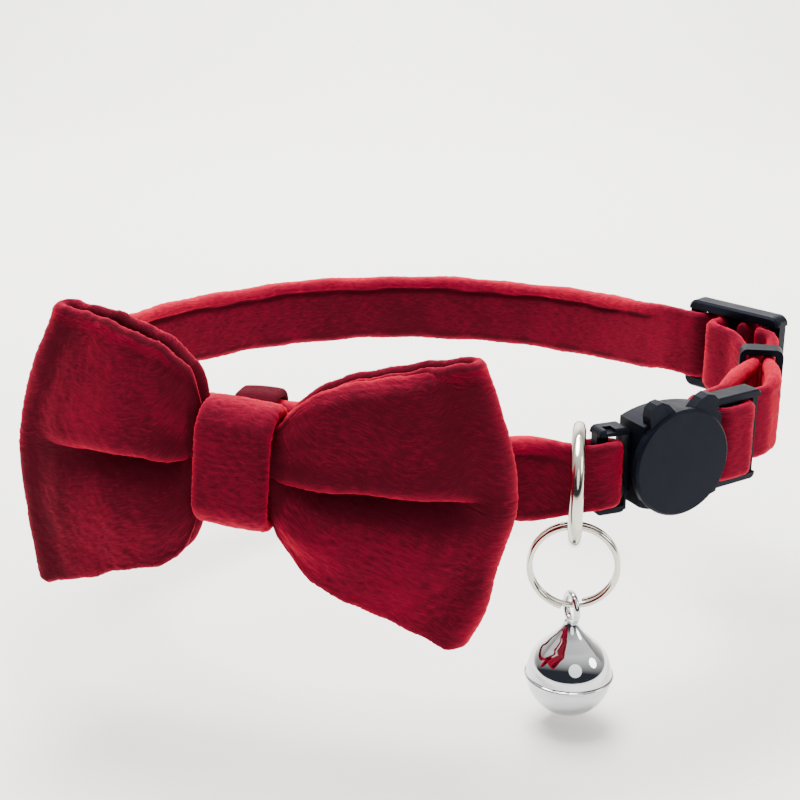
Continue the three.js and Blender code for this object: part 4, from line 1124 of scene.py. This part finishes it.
class COLLAR_OT_strap(bpy.types.Operator):
    """The velvet strap, from its sewn return to its end on the slider"""

    bl_idname = "collar.strap"
    bl_label = "Strap"

    def execute(self, context):
        rings, shade_and_highlight = strap_rings()
        rings, shade_and_highlight = rounded_ends(rings, END_STEPS), np.pad(shade_and_highlight, ((END_STEPS, END_STEPS), (0, 0)), mode="edge")
        mesh = sheet_of_rings("velvet_strap", rings, closed=False, cap=True)
        set_shade_and_highlight(mesh, shade_and_highlight)
        raise_pile(mesh, rings)
        add_piece(mesh, brushed_velvet("strap_velvet_brushed"), "collar", "velvet", "strap")
        return {"FINISHED"}


class COLLAR_OT_bow(bpy.types.Operator):
    """The bow's two wings, with folds, creases and gathers"""

    bl_idname = "collar.bow"
    bl_label = "Bow"

    def execute(self, context):
        _, waist, _ = knot_frame()
        rings, shade_and_highlight = bow_rings()
        mesh = sheet_of_rings("velvet_bow", waist.place(rings, KNOT_LIFT), closed=True)
        set_shade_and_highlight(mesh, shade_and_highlight)
        raise_pile(mesh, rings, seed=11.0)
        bow = add_piece(mesh, brushed_velvet("bow_velvet_brushed"), "collar", "velvet", "bow")
        return {"FINISHED"}


class COLLAR_OT_knot(bpy.types.Operator):
    """The band round the bow's waist and the loop that holds the bow on the strap"""

    bl_idname = "collar.knot"
    bl_label = "Knot band and strap loop"

    def execute(self, context):
        place, waist, waist_half = knot_frame()
        material = brushed_velvet("knot_velvet_brushed", across=True)
        opening = waist_half + KNOT_EASE, WAIST_HALF_HEIGHT + KNOT_EASE
        rings = band_loop(*opening, KNOT_WALL, KNOT_WIDTH, KNOT_CORNER, along_points=150, face_points=26)
        mesh = sheet_of_rings("velvet_knot_band", waist.place(roll(rings, BOW_ROLL), KNOT_LIFT), closed=True)
        raise_pile(mesh, rings, across=True, seed=23.0)
        add_piece(mesh, material, "collar", "velvet", "bow_knot_band")
        opening = STRAP_THICKNESS / 2 + BOW_LOOP_EASE, STRAP_WIDTH / 2 + BOW_LOOP_EASE - BOW_LOOP_SLACK
        band = BOW_LOOP_WALL, BOW_LOOP_WIDTH, BOW_LOOP_CORNER
        rings = band_loop(*opening, *band, along_points=90, face_points=14)
        mesh = sheet_of_rings("velvet_strap_loop", place.place(rings, KNOT_LIFT), closed=True)
        # Painted shade on the loop, between the bow and the strap
        set_shade_and_highlight(mesh, np.full(rings.shape[:2], -0.35))
        add_piece(mesh, material, "collar", "velvet", "bow_strap_loop")
        return {"FINISHED"}


class COLLAR_OT_plastic(bpy.types.Operator):
    """Moulded finish on both halves of the buckle, the slider and the keeper"""

    bl_idname = "collar.plastic"
    bl_label = "Plastic parts"

    def execute(self, context):
        material = moulded_abs("abs_moulded_satin")
        rounding = {"width": context.scene.collar_hard.edge, "segments": 3, "harden_normals": True}
        corners = {"limit_method": "ANGLE", "angle_limit": math.radians(35)}
        for name in ("buckle_tongue_half", "buckle_cat_head_half", "slider", "keeper_loop"):
            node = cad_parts[name]
            node.data.materials.clear()
            node.data.materials.append(material)
            modify(node, "weld", "WELD", merge_threshold=0.002 * MM)
            modify(node, "moulded_edges", "BEVEL", **rounding, **corners)
        return {"FINISHED"}


def ring_place():
    """Centre of the O ring, and the level directions in its plane and square to it."""
    low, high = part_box("o_ring")
    turn = math.radians(RING_TURN)
    away = np.array([math.sin(turn), math.cos(turn), 0])
    return np.array((low + high) / 2) / MM, away, np.array([away[1], -away[0], 0])


def split_place():
    """Centre of the split ring, which hangs from the bottom of the O ring."""
    centre, _, _ = ring_place()
    low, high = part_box("split_ring")
    return np.array([centre[0], centre[1], (low.z + high.z) / 2 / MM])


def bell_place():
    """Centre of the bell's shell, below the split ring."""
    low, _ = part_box("bell")
    centre, _, _ = ring_place()
    return np.array([centre[0], centre[1], low.z / MM + BELL_RADIUS])


class COLLAR_OT_rings(bpy.types.Operator):
    """The O ring on the strap and the split ring that hangs in it"""

    bl_idname = "collar.rings"
    bl_label = "Rings"

    def execute(self, context):
        look = context.scene.collar_hard
        nickel = plated_metal("steel_wire_nickel_plated", look.nickel, 0.06, 0.16, haze_size=1.4)
        centre, away, side = ring_place()
        path = upright_circle(centre, (RING_OUTSIDE - RING_WIRE) / 2, away, full_turn(128))
        mesh = sheet_of_rings("o_ring_wire", wire_rings(path, RING_WIRE / 2, 24, closed=True), closed=True)
        add_piece(mesh, nickel, "collar", "nickel", "o_ring")
        shares = np.linspace(-0.5, 0.5, 260)
        angles = shares * SPLIT_TURNS * 2 * math.pi - math.pi / 2
        along = shares[:, None] * SPLIT_TURNS * SPLIT_PITCH
        path = upright_circle(split_place(), (SPLIT_OUTSIDE - SPLIT_WIRE) / 2, side, angles) - along * away
        rings = rounded_ends(wire_rings(path, SPLIT_WIRE / 2, 16, closed=False), steps=3)
        mesh = sheet_of_rings("split_ring_wire", rings, closed=False, cap=True)
        add_piece(mesh, nickel, "ring", "nickel", "split_ring")
        return {"FINISHED"}


def arc(radius, start, end, count):
    """Points of a profile on an arc, between two angles in degrees."""
    return [(radius * math.cos(a), radius * math.sin(a)) for a in np.radians(np.linspace(start, end, count))]


def lathe_mesh(name, profile, around, centre):
    """A round solid from a profile of radius and height, in millimetres."""
    angles = full_turn(around)
    profile = np.array(profile)
    x = profile[:, :1] * np.cos(angles)
    y = profile[:, :1] * np.sin(angles)
    z = profile[:, 1:] * np.ones_like(angles)
    return sheet_of_rings(name, np.stack([x, y, z], -1) + centre, closed=False, cap=True)


def joined(name, *meshes):
    """One mesh made of several."""
    build = bmesh.new()
    for mesh in meshes:
        build.from_mesh(mesh)
        bpy.data.meshes.remove(mesh)
    mesh = bpy.data.meshes.new(name)
    build.to_mesh(mesh)
    build.free()
    return mesh


def cut(mesh, cutter):
    """The mesh with the cutter taken out of it. The cutter's parts may cross each other."""
    whole, tool = new_object("whole", mesh), new_object("tool", cutter)
    modify(whole, "slot", "BOOLEAN", operation="DIFFERENCE", solver="EXACT", use_self=True, object=tool)
    view = bpy.context.evaluated_depsgraph_get()
    result = bpy.data.meshes.new_from_object(whole.evaluated_get(view))
    bpy.data.objects.remove(whole)
    bpy.data.objects.remove(tool)
    return result


def bell_profile():
    """Outside of the bell from its bottom to its neck: radius and height in millimetres."""
    r = BELL_RADIUS
    lip = [(r + x, z * 0.9) for x, z in arc(BELL_LIP, -80, 80, 9)]
    neck = table(
        "height radius",
        (0.788, 0.616),
        (0.9, 0.5),
        (1.03, 0.36),
        (1.17, 0.24),
        (1.29, 0.17),
        (1.36, 0.15),
    )
    heights, radii = [row["height"] * r for row in neck], [row["radius"] * r for row in neck]
    places = np.linspace(heights[0], heights[-1], 18)[1:]
    shoulder = [(np.interp(place, heights, radii), place) for place in places]
    return arc(r, -89.9, -3.5, 40) + lip + arc(r, 3.5, 52, 24) + shoulder + [(0.02, heights[-1] + 0.02)]


class COLLAR_OT_bell(bpy.types.Operator):
    """The chrome bell with its lip, keyhole slot and wire loop, and the pea inside"""

    bl_idname = "collar.bell"
    bl_label = "Bell"

    def execute(self, context):
        look = context.scene.collar_hard
        centre = bell_place()
        outside = lathe_mesh("outside", bell_profile(), 112, centre)
        inside = lathe_mesh("inside", arc(BELL_RADIUS - BELL_WALL, 89.9, -89.9, 60), 80, centre)
        inside.flip_normals()
        shell = cut(joined("shell", outside, inside), self.keyhole(centre))
        turn = math.radians(90 + BELL_LOOP_TURN)
        level = np.array([math.cos(turn), math.sin(turn), 0])
        radius = (BELL_LOOP_EYE + BELL_LOOP_WIRE) / 2
        path = upright_circle(centre + UP * BELL_DROP, radius, level, full_turn(64))
        loop = sheet_of_rings("loop", wire_rings(path, BELL_LOOP_WIRE / 2, 18, closed=True), closed=True)
        mesh = joined("bell_shell_and_loop", shell, loop)
        mesh.set_sharp_from_angle(angle=math.radians(38))
        chrome = plated_metal("brass_shell_chrome_plated", look.chrome, 0.02, 0.07, haze_size=2.5)
        add_piece(mesh, chrome, "bell", "bell_chrome", "bell")
        drop = BELL_RADIUS - BELL_WALL - PEA_RADIUS - GAP
        pea = lathe_mesh("bell_pea_ball", arc(PEA_RADIUS, -89.5, 89.5, 24), 36, centre - UP * drop)
        steel = plated_metal("steel_pea_nickel_plated", look.nickel, 0.15, 0.3, haze_size=0.6)
        add_piece(pea, steel, "bell", "nickel", "bell_pea")
        return {"FINISHED"}

    def keyhole(self, centre):
        """Cutter for the slot across the bell's bottom and the round hole at each of its ends."""
        r = BELL_RADIUS
        low, high = -2 * r, -r * BELL_SLOT_TOP
        build = bmesh.new()
        bmesh.ops.create_cube(build, size=1)
        for vertex in build.verts:
            x, y, z = vertex.co
            vertex.co = Vector((x * 4 * r, y * BELL_SLOT, (low + high) / 2 + z * (high - low)))
        sizes = {"radius1": BELL_HOLE / 2, "radius2": BELL_HOLE / 2, "depth": 4.2 * r}
        hole = bmesh.ops.create_cone(build, cap_ends=True, segments=48, **sizes)
        for vertex in hole["verts"]:
            x, y, z = vertex.co
            vertex.co = Vector((z, y, x - r * BELL_HOLE_DROP))
        turn = math.radians(BELL_SLOT_TURN)
        for vertex in build.verts:
            x, y, z = vertex.co
            vertex.co.x = (x * math.cos(turn) - y * math.sin(turn) + centre[0]) * MM
            vertex.co.y = (x * math.sin(turn) + y * math.cos(turn) + centre[1]) * MM
            vertex.co.z = (z + centre[2]) * MM
        bmesh.ops.recalc_face_normals(build, faces=build.faces)
        mesh = bpy.data.meshes.new("keyhole")
        build.to_mesh(mesh)
        build.free()
        return mesh


class COLLAR_PT_panel(bpy.types.Panel):
    """Lists the collar's steps and settings"""

    bl_idname = "COLLAR_PT_panel"
    bl_label = "Bow tie collar"
    bl_space_type = "VIEW_3D"
    bl_region_type = "UI"
    bl_category = "Collar"

    def draw(self, context):
        layout = self.layout
        for operator in STEPS:
            layout.operator(operator.bl_idname)
        for name in SETTINGS:
            settings = getattr(context.scene, name)
            for key in settings.__annotations__:
                layout.prop(settings, key)


STEPS = (
    COLLAR_OT_stage,
    COLLAR_OT_strap,
    COLLAR_OT_bow,
    COLLAR_OT_knot,
    COLLAR_OT_plastic,
    COLLAR_OT_rings,
    COLLAR_OT_bell,
)
SETTINGS = {"collar_velvet": VelvetSettings, "collar_hard": HardSettings, "collar_stage": StageSettings}


def register():
    for cls in (*SETTINGS.values(), *STEPS, COLLAR_PT_panel):
        bpy.utils.register_class(cls)
    for name, cls in SETTINGS.items():
        setattr(bpy.types.Scene, name, PointerProperty(type=cls))


def unregister():
    for name in SETTINGS:
        delattr(bpy.types.Scene, name)
    for cls in reversed((*SETTINGS.values(), *STEPS, COLLAR_PT_panel)):
        bpy.utils.unregister_class(cls)


def main():
    register()
    bpy.ops.collar.stage()
    bpy.ops.collar.strap()
    bpy.ops.collar.bow()
    bpy.ops.collar.knot()
    bpy.ops.collar.plastic()
    bpy.ops.collar.rings()
    bpy.ops.collar.bell()


if __name__ == "__main__":
    main()
